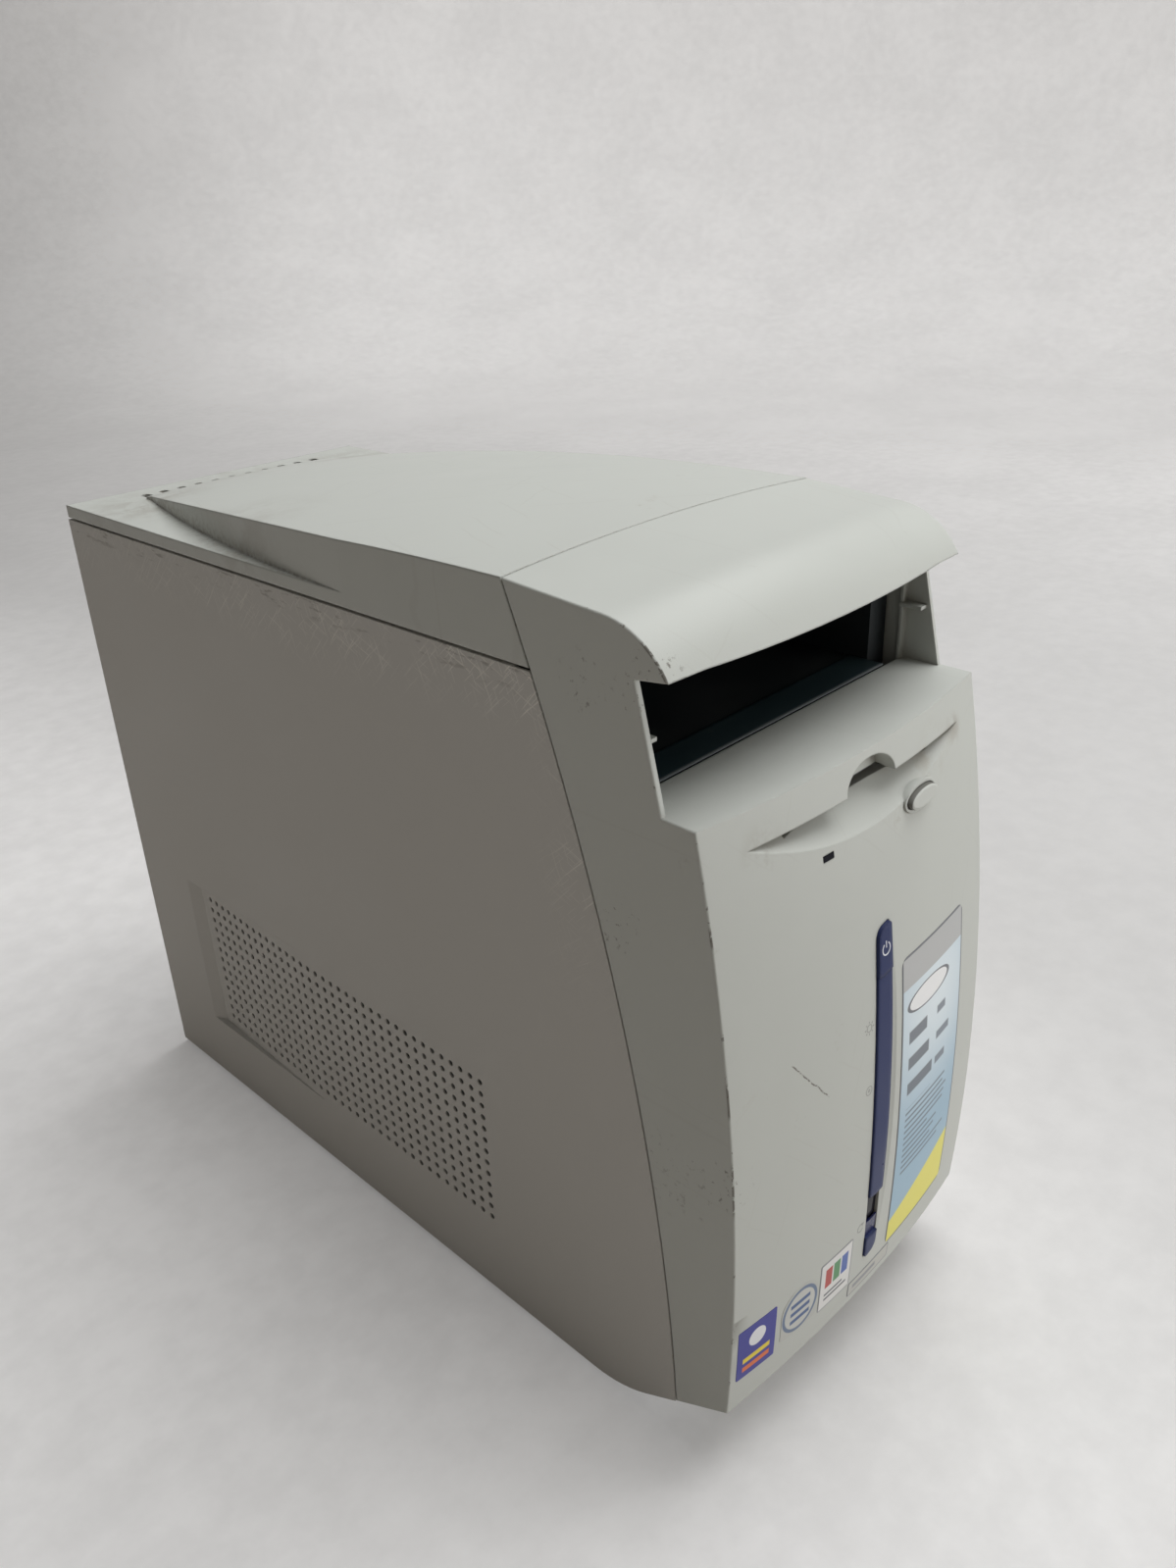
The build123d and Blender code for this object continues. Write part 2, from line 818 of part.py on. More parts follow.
# Opening for the strip, with a shallow round groove along its right edge that runs out at both ends
bezel = bezel - through_front(strip_face(fit_gap))
groove_path = ThreePointArc(
    groove_point(strip_foot_right_x, strip_bottom_z - groove_lead, -fit_gap),
    groove_point(strip_mid_right_x, (strip_bottom_z + strip_top_z) / 2, groove_depth),
    groove_point(strip_top_right_x, strip_top_z + groove_lead, -fit_gap),
)
groove_start = Plane(origin=groove_path @ 0, z_dir=groove_path % 0)
bezel = bezel - sweep(groove_start * Circle(groove_radius), path=groove_path)

# Ribs and clip tabs inside the drive mouth
for side in (-1, 1):
    rib = block(side * inner_half, side * (inner_half - mouth_rib_depth), mouth_rib_y,
                mouth_rib_y + mouth_rib_width, ledge_z - plastic_wall, mouth_top_z)
    bezel = bezel + (rib & roof_solid(plastic_wall / 2))
    tab = block(side * inner_half, side * (inner_half - mouth_tab_width), mouth_rib_y - mouth_tab_length,
                mouth_rib_y + mouth_rib_width, mouth_tab_z, mouth_tab_z + mouth_rib_width)
    bezel = bezel + tab

# Posts for the switch board, and hooks that hold the bezel on the front frame
post_core = front_solid(plastic_wall / 2)
for z in post_heights:
    post = rod_y(switch_board_boss_x, front_apex_y, switch_board_y, z, post_radius)
    bezel = bezel + (post & post_core)
    bezel = bezel - rod_y(switch_board_boss_x, switch_board_y - 2 * post_radius, switch_board_y, z,
                          screw_radius)
hook_rear_y = frame_y + 3 * sheet
for z in hook_heights:
    free_y = min(seam_y(z) - seam_gap, frame_y - sheet)
    low_z = z - hook_width / 2
    high_z = z + hook_width / 2
    for side in (-1, 1):
        arm = block(side * hook_inner, side * inner_half, hook_front_y, hook_rear_y, low_z, high_z)
        arm = arm - block(side * (hook_inner + hook_catch), side * half_width, free_y, 0,
                          low_z - sheet, high_z + sheet)
        catch = block(side * (hook_inner - hook_catch), side * (hook_inner + fit_gap),
                      frame_y + sheet + slide_gap, hook_rear_y, low_z, high_z)
        bezel = bezel + arm + catch
save("front_bezel", bezel)

# Strip, buttons and windows on the front

strip_back = plastic_wall + fit_gap
flange_back = strip_back + strip_flange_thickness
strip_bar = through_front(strip_face()) & front_skin(-strip_proud, strip_back + fit_gap)
upper_bar = (strip_bar & above_split(window_top_z)) - above_split(power_split_z - fit_gap)
lower_bar = strip_bar - above_split(reset_bottom_z)
flange = through_front(strip_face(strip_flange)) & front_skin(strip_back, flange_back)
flange = flange - above_split(power_split_z - fit_gap)
reset_top_z = window_bottom_z - fit_gap
reset_low_z = reset_bottom_z + fit_gap
reset_x = (strip_mid_left_x + strip_foot_right_x) / 2
reset_z = (reset_top_z + reset_low_z) / 2
stem_hole = reset_stem_half + fit_gap
flange = flange - block(reset_x - stem_hole, reset_x + stem_hole, wide_front_y, 0,
                        reset_z - stem_hole, reset_z + stem_hole)
save("light_strip", upper_bar + lower_bar + flange)

window = through_front(strip_face()) & front_skin(window_sink, strip_back)
window = (window & above_split(window_bottom_z)) - above_split(window_top_z - fit_gap)
save("indicator_window", window)

plunger_front_y = switch_board_y - switch_height - switch_plunger_length / 2
reset = through_front(strip_face()) & front_skin(reset_sink, strip_back - reset_travel - fit_gap)
reset = (reset & above_split(reset_low_z)) - above_split(reset_top_z)
reset_stem = block(reset_x - reset_stem_half, reset_x + reset_stem_half,
                   front_y(reset_x, reset_z, reset_sink + slide_gap), plunger_front_y,
                   reset_z - reset_stem_half, reset_z + reset_stem_half)
save("reset_button", reset + reset_stem)

power_x = (strip_top_left_x + strip_mid_right_x) / 2
power_z = (power_split_z + strip_top_z) / 2
power = through_front(strip_face()) & front_skin(-power_proud, flange_back)
power_flange = through_front(strip_face(strip_flange)) & front_skin(strip_back, flange_back)
power = (power + power_flange) & above_split(power_split_z)
power_stem = block(power_x - power_stem_half, power_x + power_stem_half,
                   front_y(power_x, power_z, strip_back), plunger_front_y,
                   power_z - power_stem_half, power_z + power_stem_half)
save("power_button", power + power_stem)

switch_board = block(switch_board_low_x, switch_board_high_x, switch_board_y,
                     switch_board_y + switch_board_thickness,
                     reset_z - 3 * switch_half, power_z + 3 * switch_half)
for z in post_heights:
    switch_board = switch_board - rod_y(switch_board_boss_x, front_apex_y, 0, z, screw_radius + fit_gap)
save("switch_board", switch_board)

switches = []
plungers = []
for x, z in ((power_x, power_z), (reset_x, reset_z)):
    body = block(x - switch_half, x + switch_half, switch_board_y - switch_height, switch_board_y,
                 z - switch_half, z + switch_half)
    hole = switch_plunger_half + fit_gap
    body = body - block(x - hole, x + hole, switch_board_y - switch_height, switch_board_y - sheet / 2,
                        z - hole, z + hole)
    switches.append(body)
    plunger = block(x - switch_plunger_half, x + switch_plunger_half, plunger_front_y,
                    plunger_front_y + switch_plunger_length, z - switch_plunger_half, z + switch_plunger_half)
    plungers.append(plunger)
save("front_switches", *switches)
save("power_switch_plunger", plungers[0])
save("reset_switch_plunger", plungers[1])

indicator_x = (strip_mid_left_x + strip_mid_right_x) / 2
lamps = []
for z in indicator_heights:
    lamp_front_y = front_y(indicator_x, z, flange_back + fit_gap)
    lamps.append(rod_y(indicator_x, lamp_front_y, switch_board_y, z, indicator_radius))
save("indicator_lamps", *lamps)

case_screws = []
for z in post_heights:
    screw_y = switch_board_y + switch_board_thickness
    shank = rod_y(switch_board_boss_x, switch_board_y - post_radius, screw_y, z, screw_radius - slide_gap)
    head = rod_y(switch_board_boss_x, screw_y, screw_y + screw_head_height, z, 2 * screw_radius)
    case_screws.append(shank + head)

eject_back_y = pod_back_y - plastic_wall
eject_meet_y = floppy_front_y - fit_gap
eject = through_front(eject_oval(), eject_back_y) & front_solid(-eject_boss_proud - eject_proud)
eject_stem = block(eject_x - plunger_width / 2, eject_x + plunger_width / 2, eject_back_y, eject_meet_y,
                   eject_z - plunger_height / 2, eject_z + plunger_height / 2)
eject_edge = eject.edges().group_by(Axis.Y)[0]
eject = fillet(eject_edge, eject_proud / 2)
save("eject_button", eject + eject_stem)

lamp_window = through_front(rectangle(lamp_left, lamp_right, lamp_low, lamp_high), floppy_front_y)
save("disk_lamp_window", lamp_window & front_solid(-slide_gap))

# Top cover

def dome_face(inset):
    """Side face under the dome's top line, moved down by inset."""
    joint = (roof_joint_y, roof_joint_z - inset)
    middle = (dome_mid_y, dome_mid_z - inset)
    rear = (dome_rear_y, dome_rear_z - inset)
    low_z = chassis_top_z - far
    front = (roof_joint_y - far, roof_joint_z - inset)
    return side_face(
        Line(front, joint),
        ThreePointArc(joint, middle, rear),
        Polyline(rear, (dome_rear_y, low_z), (front[0], low_z), front),
    )


def dome_plan(inset):
    """Plan of the raised middle, drawn in by the scoops on both sides."""
    wide = half_width - inset
    narrow = scoop_rear_x - inset
    waist = scoop_mid_x - inset

    def edge(side):
        return ThreePointArc((side * wide, scoop_front_y), (side * waist, scoop_mid_y),
                             (side * narrow, scoop_rear_y))

    face = make_face(Curve() + [
        edge(1),
        Polyline((narrow, scoop_rear_y), (narrow, cover_rear_y + far), (-narrow, cover_rear_y + far),
                 (-narrow, scoop_rear_y)),
        edge(-1),
        Polyline((-wide, scoop_front_y), (-wide, roof_joint_y - far), (wide, roof_joint_y - far),
                 (wide, scoop_front_y)),
    ])
    return extrude(face, amount=roof_joint_z + far)


cover_side = seam_region(seam_gap / 2, False)
cover_bottom_z = chassis_top_z
dome = crowned(dome_face(0)) & dome_plan(0)
flange_slab = block(-half_width, half_width, roof_joint_y - far, cover_rear_y, cover_bottom_z, cover_flange_z)
cover = (dome + flange_slab) & cover_side
cover = cover & block(-half_width, half_width, -case_depth, cover_rear_y, cover_bottom_z, case_depth)
cavity = crowned(dome_face(plastic_wall)) & dome_plan(plastic_wall)
cavity = cavity & block(-inner_half, inner_half, -case_depth, dome_rear_y - plastic_wall, 0, case_depth)
flat_cavity = block(-inner_half, inner_half, -case_depth, cover_rear_y - plastic_wall, 0,
                    cover_flange_z - plastic_wall)
cover = cover - cavity - flat_cavity
for index in range(cover_slot_count):
    x = (index - (cover_slot_count - 1) / 2) * cover_slot_pitch
    vent = Pos(x, cover_slot_y) * Rot(0, 0, 90) * SlotOverall(cover_slot_length, cover_slot_width)
    cover = cover - extrude(vent, amount=case_depth)
post_roof = crowned(dome_face(plastic_wall / 2))
for x in (-cover_post_x, cover_post_x - cover_post):
    for inset in cover_post_insets:
        y = rear_end_y - inset
        post = block(x, x + cover_post, y, y + cover_post, cover_bottom_z, roof_joint_z)
        cover = cover + (post & post_roof)
save("top_cover", cover)

# Side panels

def panel_sheet(side):
    """One side panel: a steel sheet with its top, bottom and rear edges folded inwards."""
    outline = above_lift(0, seam_y(0) - far, panel_rear_y, panel_top_z)
    inside = above_lift(sheet, seam_y(0) - far, panel_rear_y - sheet, panel_top_z - sheet)
    panel = across(outline, half_width)
    panel = panel - across(inside, panel_inner)
    panel = panel & seam_region(seam_gap / 2, False)
    keep = block(side * (panel_inner - panel_flange), side * half_width, -case_depth, case_depth,
                 0, case_depth)
    panel = panel & keep
    lift_end = lift_corner_y + lift_radius
    panel = panel - block(-panel_inner, panel_inner, -case_depth, lift_end, -far, panel_top_z - 2 * sheet)
    flange_front_y = seam_y(panel_top_z) + panel_flange
    panel = panel - block(-panel_inner, panel_inner, -case_depth, flange_front_y, 0, case_depth)
    for z in (panel_screw_low_z, panel_screw_high_z):
        x = side * (panel_inner - panel_flange / 2)
        panel = panel - rod_y(x, panel_rear_y - 2 * sheet, panel_rear_y + sheet, z, screw_radius + fit_gap)
    return panel


def recess_wedge(grow):
    """Wedge pressed into the left panel, deepest near its rear end, grown in height by grow."""
    lead = sheet / 2
    rear_run = (recess_rear_y - recess_deep_y) * lead / recess_depth
    front_run = (recess_deep_y - recess_front_y) * lead / recess_depth
    face = make_face(Polyline(
        (-half_width - lead, recess_rear_y + rear_run), (-half_width + recess_depth, recess_deep_y),
        (-half_width - lead, recess_front_y - front_run), close=True))
    return Pos(0, 0, recess_low_z - grow) * extrude(face, amount=recess_high_z - recess_low_z + 2 * grow)


vent_front_y = vent_rear_y - (vent_columns - 1) * vent_pitch_y
vent_low_z = vent_top_z - (vent_rows - 1) * vent_pitch_z
vent_grid = Pos((vent_rear_y + vent_front_y) / 2, (vent_top_z + vent_low_z) / 2) * GridLocations(
    vent_pitch_y, vent_pitch_z, vent_columns, vent_rows)
vent_rods = extrude(Plane.YZ.offset(-half_width - sheet) * (Sketch() + vent_grid * Circle(vent_radius)),
                    amount=recess_depth + 4 * sheet)

left_panel = panel_sheet(-1)
pressed = Pos(sheet, 0, 0) * recess_wedge(sheet)
pressed = pressed & block(-half_width, 0, -case_depth, case_depth, 0, case_depth)
left_panel = left_panel + pressed - recess_wedge(0) - vent_rods
save("left_side_panel", left_panel)
save("right_side_panel", panel_sheet(1))

for name, side in (("left_panel_screws", -1), ("right_panel_screws", 1)):
    screws = []
    for z in (panel_screw_low_z, panel_screw_high_z):
        x = side * (panel_inner - panel_flange / 2)
        head = rod_y(x, panel_rear_y, rear_end_y, z, screw_head_radius)
        slit = block(x - screw_head_radius, x + screw_head_radius, rear_end_y - sheet, rear_end_y,
                     z - sheet / 2, z + sheet / 2)
        screws.append(head - slit + rod_y(x, panel_rear_y - 2 * sheet, panel_rear_y, z, screw_radius))
    save(name, *screws)

# Steel chassis

rim_y = panel_rear_y - sheet - slide_gap
base_top_z = base_bottom_z + sheet
base_front_y = seam_y(panel_bottom_z) + 3 * sheet
frame_half = chassis_half - sheet
cut_front_y = base_front_y - sheet
cut_rear_y = rim_y + sheet

base = across(above_lift(base_offset, base_front_y, rim_y, case_depth), chassis_half)
base = base - across(above_lift(base_offset + sheet, cut_front_y, cut_rear_y, 2 * case_depth), frame_half)
flange_offset = base_offset + base_flange_height
base = base - across(above_lift(flange_offset, cut_front_y, cut_rear_y, 2 * case_depth), case_width)
save("base_pan", base)

feet = []
for x in (-foot_x, foot_x):
    for y in (foot_front_y, foot_rear_y):
        foot = rod_z(x, y, 0, base_bottom_z, foot_radius)
        feet.append(fillet(foot.edges().group_by(Axis.Z)[0], sheet))
save("rubber_feet", *feet)

frame_bottom_z = lift_z(frame_y, base_offset + sheet) + slide_gap
frame_back_y = frame_y + sheet
small_half = small_drive_half + small_cage_gap
floppy_top_z = floppy_bottom_z + floppy_height
# The plate ends at the floor of the bay, and a post is welded on it at either side of the bay
front_frame = block(-frame_half, frame_half, frame_y, frame_back_y, frame_bottom_z, bay_floor_z)
bay_posts = []
for side in (-1, 1):
    bay_posts.append(block(side * bay_half_width, side * frame_half, frame_y, frame_back_y,
                           bay_floor_z, frame_top_z))
front_frame = front_frame - block(-small_half, small_half, frame_y - sheet, frame_back_y + sheet,
                                  floppy_bottom_z - small_cage_gap, floppy_top_z + small_cage_gap)
notch_half = hook_width / 2 + fit_gap
for z in hook_heights:
    for side in (-1, 1):
        front_frame = front_frame - block(side * (hook_inner - fit_gap), side * case_width, frame_y - sheet,
                                          frame_back_y + sheet, z - notch_half, z + notch_half)
frame_vents = Pos(0, frame_vent_z) * GridLocations(
    frame_vent_pitch, frame_vent_pitch, frame_vent_count, frame_vent_count)
vent_face = Sketch() + frame_vents * Circle(frame_vent_radius)
front_frame = front_frame - extrude(front_plane(frame_back_y + sheet) * vent_face, amount=4 * sheet)
save("front_frame", front_frame, *bay_posts)

tray_top_z = panel_top_z - sheet - slide_gap
save("board_tray", block(tray_x, tray_x + sheet, frame_back_y, rim_y - sheet, frame_bottom_z, tray_top_z))

plate_bottom_z = chassis_top_z - sheet
save("top_plate", block(-frame_half, frame_half, bay_rear_y, rim_y, plate_bottom_z, chassis_top_z))

speaker_y = frame_back_y + speaker_depth
speaker = rod_y(0, frame_back_y, speaker_y, speaker_z, speaker_radius)
save("speaker", speaker + rod_y(0, speaker_y, speaker_y + speaker_depth, speaker_z, speaker_radius / 2))

# Rear panel, with openings for the power supply, the ports and the expansion slots

rear_face_y = rear_plane_y + sheet
bracket_y = rear_plane_y - sheet
port_high_x = board_x + sheet / 2
slot_heights = [slot_first_z + index * slot_pitch_z for index in range(slot_count)]
rim_half = rear_rim_half + sheet
rear = block(-rim_half, rim_half, rear_plane_y, rear_face_y, base_top_z, plate_bottom_z)
for side in (-1, 1):
    rear = rear + block(side * rear_rim_half, side * rim_half, rear_plane_y, rim_y, base_top_z, tray_top_z)
    rear = rear + block(side * rear_rim_half, side * (chassis_half + sheet), rim_y - sheet, rim_y,
                        base_top_z + base_flange_height, tray_top_z)
    for z in (panel_screw_low_z, panel_screw_high_z):
        x = side * (panel_inner - panel_flange / 2)
        rear = rear - rod_y(x, rear_plane_y, rear_end_y, z, screw_radius + fit_gap)
psu_window_half = psu_half_width - psu_border
psu_screw_inset = psu_border / 2
rear = rear - block(-psu_window_half, psu_window_half, bracket_y, rim_y,
                    psu_bottom_z + psu_screw_inset, psu_top_z - psu_screw_inset)
rear = rear - block(port_low_x, port_high_x, bracket_y, rim_y, port_low_z, port_high_z)
for z in slot_heights:
    middle_z = z + slot_shift
    rear = rear - block(bracket_low_x + slot_low_margin, bracket_high_x - slot_high_margin, bracket_y, rim_y,
                        middle_z - slot_window_half, middle_z + slot_window_half)
psu_screw_places = []
for x in (-psu_half_width + psu_screw_inset, psu_half_width - psu_screw_inset):
    for z in (psu_bottom_z + psu_screw_inset, psu_top_z - psu_screw_inset):
        psu_screw_places.append((x, z))
        rear = rear - rod_y(x, bracket_y, rim_y, z, screw_radius + fit_gap)
rear_vents = Pos(rear_vent_x, rear_vent_z) * GridLocations(
    rear_vent_pitch, rear_vent_pitch, rear_vent_columns, rear_vent_rows)
vent_face = Sketch() + rear_vents * Circle(rear_vent_radius)
rear = rear - extrude(front_plane(rim_y) * vent_face, amount=rim_y - bracket_y)
save("rear_panel", rear)

# Drive cages and drives

cage_half = bay_half_width + sheet
cage = block(-cage_half, cage_half, frame_back_y, bay_rear_y, bay_floor_z - sheet, bay_roof_z + sheet)
cage = cage - block(-bay_half_width, bay_half_width, frame_y, bay_rear_y + sheet, bay_floor_z, bay_roof_z)
bay_hole_z = bay_floor_z + bay_hole_low
for y in (bay_hole_front_y, bay_hole_front_y + bay_hole_spacing):
    cage = cage - rod_x(-cage_half - sheet, cage_half + sheet, y, bay_hole_z, bay_hole_radius)
save("drive_bay_cage", cage)

small_outer = small_half + sheet
small_floor_z = small_cage_floor_z + sheet
small_cage = block(-small_outer, small_outer, frame_back_y, small_cage_rear_y, small_cage_floor_z,
                   bay_floor_z - sheet)
small_cage = small_cage - block(-small_half, small_half, frame_y, small_cage_rear_y + sheet, small_floor_z,
                                bay_floor_z)

hard_bottom_z = small_cage_floor_z + hard_rise
hard_top_z = hard_bottom_z + hard_height
hard_front_y = frame_y + hard_setback
hard_rear_y = hard_front_y + hard_length
floppy_rear_y = floppy_front_y + floppy_length

floppy = block(-small_drive_half, small_drive_half, floppy_front_y, floppy_rear_y,
               floppy_bottom_z, floppy_top_z)
floppy = floppy - block(-slot_half_width, slot_half_width, floppy_front_y - sheet,
                        floppy_front_y + slot_depth, slot_lip_z - slot_height, slot_lip_z)
pocket_rear_y = floppy_front_y + plunger_length + eject_travel + sheet
pocket_half_x = plunger_width / 2 + fit_gap
pocket_half_z = plunger_height / 2 + fit_gap
floppy = floppy - block(eject_x - pocket_half_x, eject_x + pocket_half_x, floppy_front_y - sheet,
                        pocket_rear_y, eject_z - pocket_half_z, eject_z + pocket_half_z)
hard = block(-small_drive_half, small_drive_half, hard_front_y, hard_rear_y, hard_bottom_z, hard_top_z)
lid_half = small_drive_half - hard_lid_margin
hard = hard + block(-lid_half, lid_half, hard_front_y + hard_lid_margin, hard_rear_y - hard_lid_end,
                    hard_top_z, hard_top_z + sheet)
for z in (floppy_bottom_z + drive_screw_rise, hard_bottom_z + drive_screw_rise):
    for y in (drive_screw_front_y, drive_screw_front_y + drive_screw_spacing):
        passage = rod_x(-small_outer - sheet, small_outer + sheet, y, z, screw_radius + fit_gap)
        small_cage = small_cage - passage
        for side in (-1, 1):
            hole = Rot(0, 90, 0) * Cylinder(screw_radius, 2 * drive_hole_depth)
            hole = Pos(side * small_drive_half, y, z) * hole
            floppy = floppy - hole
            hard = hard - hole
            shank_x = side * (small_outer - drive_screw_reach / 2)
            shank = Pos(shank_x, y, z) * Rot(0, 90, 0) * Cylinder(screw_radius - slide_gap, drive_screw_reach)
            head_x = side * (small_outer + screw_head_height / 2)
            head = Pos(head_x, y, z) * Rot(0, 90, 0) * Cylinder(2 * screw_radius, screw_head_height)
            case_screws.append(shank + head)
save("lower_drive_cage", small_cage)
save("floppy_drive", floppy)
save("hard_drive", hard)
save("eject_plunger", block(
    eject_x - plunger_width / 2, eject_x + plunger_width / 2, eject_meet_y, floppy_front_y + plunger_length,
    eject_z - plunger_height / 2, eject_z + plunger_height / 2))

# Power supply

def fan_frame(size, depth):
    """Square fan frame with a round duct and a motor base on four arms, blowing to +Z."""
    hub = hub_share * size
    duct = duct_share * size
    arm_z = depth - arm_thickness
    frame = extrude(RectangleRounded(size, size, corner_round_share * size), amount=depth)
    frame = frame - extrude(Circle(duct), amount=depth)
    frame = frame + Pos(0, 0, arm_z) * extrude(Circle(hub), amount=arm_thickness)
    for angle in (45, 135):
        arm = Box(2 * duct + arm_thickness, arm_share * size, arm_thickness)
        frame = frame + Rot(0, 0, angle) * Pos(0, 0, arm_z + arm_thickness / 2) * arm
    frame = frame + Pos(0, 0, depth - motor_post_length) * extrude(Circle(hub / 4), amount=motor_post_length)
    corner = corner_hole_share * size
    for x in (-corner, corner):
        for y in (-corner, corner):
            frame = frame - Pos(x, y, 0) * extrude(Circle(corner_hole_radius_share * size), amount=depth)
    return frame


def fan_rotor(size, depth):
    """Hub cup with tilted blades that clear the duct; its bore runs on the motor post."""
    hub = hub_share * size
    tip = duct_share * size - blade_tip_gap
    height = depth - arm_thickness - rotor_setback - fit_gap
    rotor = extrude(Circle(hub), amount=height)
    ring = extrude(Circle(tip), amount=height) - extrude(Circle(hub / 2), amount=height)
    for index in range(blade_count):
        blade = Rot(blade_tilt, 0, 0) * Box(tip - hub / 2, blade_share * size, 2 * height)
        blade = Rot(0, 0, index * 360 / blade_count) * Pos((tip + hub) / 2, 0, height / 2) * blade
        rotor = rotor + (blade & ring)
    bore_z = height - motor_post_length
    rotor = rotor - Pos(0, 0, bore_z) * extrude(Circle(hub / 4 + fit_gap), amount=height)
    return Pos(0, 0, rotor_setback) * rotor


psu_wall_y = rear_plane_y - sheet
inlet_z = psu_top_z - inlet_drop
selector_z = psu_top_z - selector_drop
lead_z = psu_bottom_z + lead_rise
case = block(-psu_half_width, psu_half_width, psu_front_y, rear_plane_y, psu_bottom_z, psu_top_z - sheet)
case = case - block(-psu_half_width + sheet, psu_half_width - sheet, psu_front_y + sheet, psu_wall_y,
                    psu_bottom_z + sheet, psu_top_z)
case = case - rod_y(psu_fan_x, psu_wall_y - sheet, rear_face_y, psu_middle_z, duct_share * psu_fan_size)
psu_openings = (
    (inlet_z, inlet_width, inlet_height),
    (selector_z, selector_width, selector_height),
)
for middle_z, width, height in psu_openings:
    hole_x = width / 2 + slide_gap
    hole_z = height / 2 + slide_gap
    case = case - block(inlet_x - hole_x, inlet_x + hole_x, psu_wall_y - sheet, rear_face_y,
                        middle_z - hole_z, middle_z + hole_z)
for x in (main_lead_x, drive_lead_x):
    case = case - rod_y(x, psu_front_y - sheet, psu_front_y + 2 * sheet, lead_z, lead_radius + fit_gap)
for x, z in psu_screw_places:
    case = case - rod_y(x, psu_wall_y - sheet, rear_face_y, z, screw_radius + fit_gap)
    head = rod_y(x, rear_face_y, rear_face_y + screw_head_height, z, 2 * screw_radius)
    case_screws.append(head + rod_y(x, psu_wall_y - 2 * sheet, rear_face_y, z, screw_radius))
save("psu_case", case)
save("psu_cover", block(-psu_half_width, psu_half_width, psu_front_y, rear_plane_y,
                        psu_top_z - sheet, psu_top_z))

psu_fan_place = Pos(psu_fan_x, psu_wall_y - psu_fan_depth, psu_middle_z) * Rot(-90, 0, 0)
save("psu_fan_frame", psu_fan_place * fan_frame(psu_fan_size, psu_fan_depth))
save("psu_fan_rotor", psu_fan_place * fan_rotor(psu_fan_size, psu_fan_depth))

guard_place = Pos(psu_fan_x, rear_plane_y + guard_wire, psu_middle_z) * Rot(-90, 0, 0)
guard_reach = corner_hole_share * psu_fan_size
guard = Rot(0, 0, 45) * Rot(0, 90, 0) * Cylinder(guard_wire, 2 * sqrt(2) * guard_reach)
guard = guard + Rot(0, 0, 135) * Rot(0, 90, 0) * Cylinder(guard_wire, 2 * sqrt(2) * guard_reach)
for index in range(guard_rings):
    guard = guard + Torus(guard_reach * (index + 1) / guard_rings, guard_wire)
save("psu_fan_guard", guard_place * guard)

inlet_face_y = rear_plane_y + inlet_proud
inlet_back_y = rear_plane_y - inlet_depth
inlet_half_x = inlet_width / 2
inlet_half_z = inlet_height / 2
inlet = block(inlet_x - inlet_half_x, inlet_x + inlet_half_x, inlet_back_y, inlet_face_y,
              inlet_z - inlet_half_z, inlet_z + inlet_half_z)
inlet = inlet + block(inlet_x - inlet_half_x - inlet_wall, inlet_x + inlet_half_x + inlet_wall, rear_plane_y,
                      inlet_face_y, inlet_z - inlet_half_z - inlet_wall, inlet_z + inlet_half_z + inlet_wall)
inlet = inlet - block(inlet_x - inlet_half_x + inlet_wall, inlet_x + inlet_half_x - inlet_wall,
                      inlet_back_y + inlet_wall, inlet_face_y + sheet,
                      inlet_z - inlet_half_z + inlet_wall, inlet_z + inlet_half_z - inlet_wall)
for x, z in ((-pin_pitch, -pin_offset), (0, pin_offset), (pin_pitch, -pin_offset)):
    pin_x = inlet_x + x
    pin_z = inlet_z + z
    inlet = inlet + block(pin_x - pin_width / 2, pin_x + pin_width / 2, inlet_back_y,
                          rear_plane_y - inlet_wall, pin_z - pin_height / 2, pin_z + pin_height / 2)
save("mains_inlet", inlet)

slider_low_x = inlet_x - (slider_width + selector_travel) / 2
slider_high_x = slider_low_x + slider_width
slider_low_z = selector_z - slider_height / 2
slider_high_z = selector_z + slider_height / 2
slider_back_y = inlet_face_y - slider_sink
slider_middle_x = (slider_low_x + slider_high_x) / 2
selector = block(inlet_x - selector_width / 2, inlet_x + selector_width / 2, rear_plane_y - selector_depth,
                 inlet_face_y, selector_z - selector_height / 2, selector_z + selector_height / 2)
selector = selector - block(slider_low_x - fit_gap, slider_high_x + selector_travel + fit_gap,
                            slider_back_y - fit_gap, inlet_face_y + sheet,
                            slider_low_z - fit_gap, slider_high_z + fit_gap)
save("voltage_selector", selector)
slider = block(slider_low_x, slider_high_x, slider_back_y, inlet_face_y - sheet, slider_low_z, slider_high_z)
slider = slider - block(slider_middle_x - slider_groove / 2, slider_middle_x + slider_groove / 2,
                        inlet_face_y - 2 * sheet, inlet_face_y, slider_low_z, slider_high_z)
save("voltage_slider", slider)

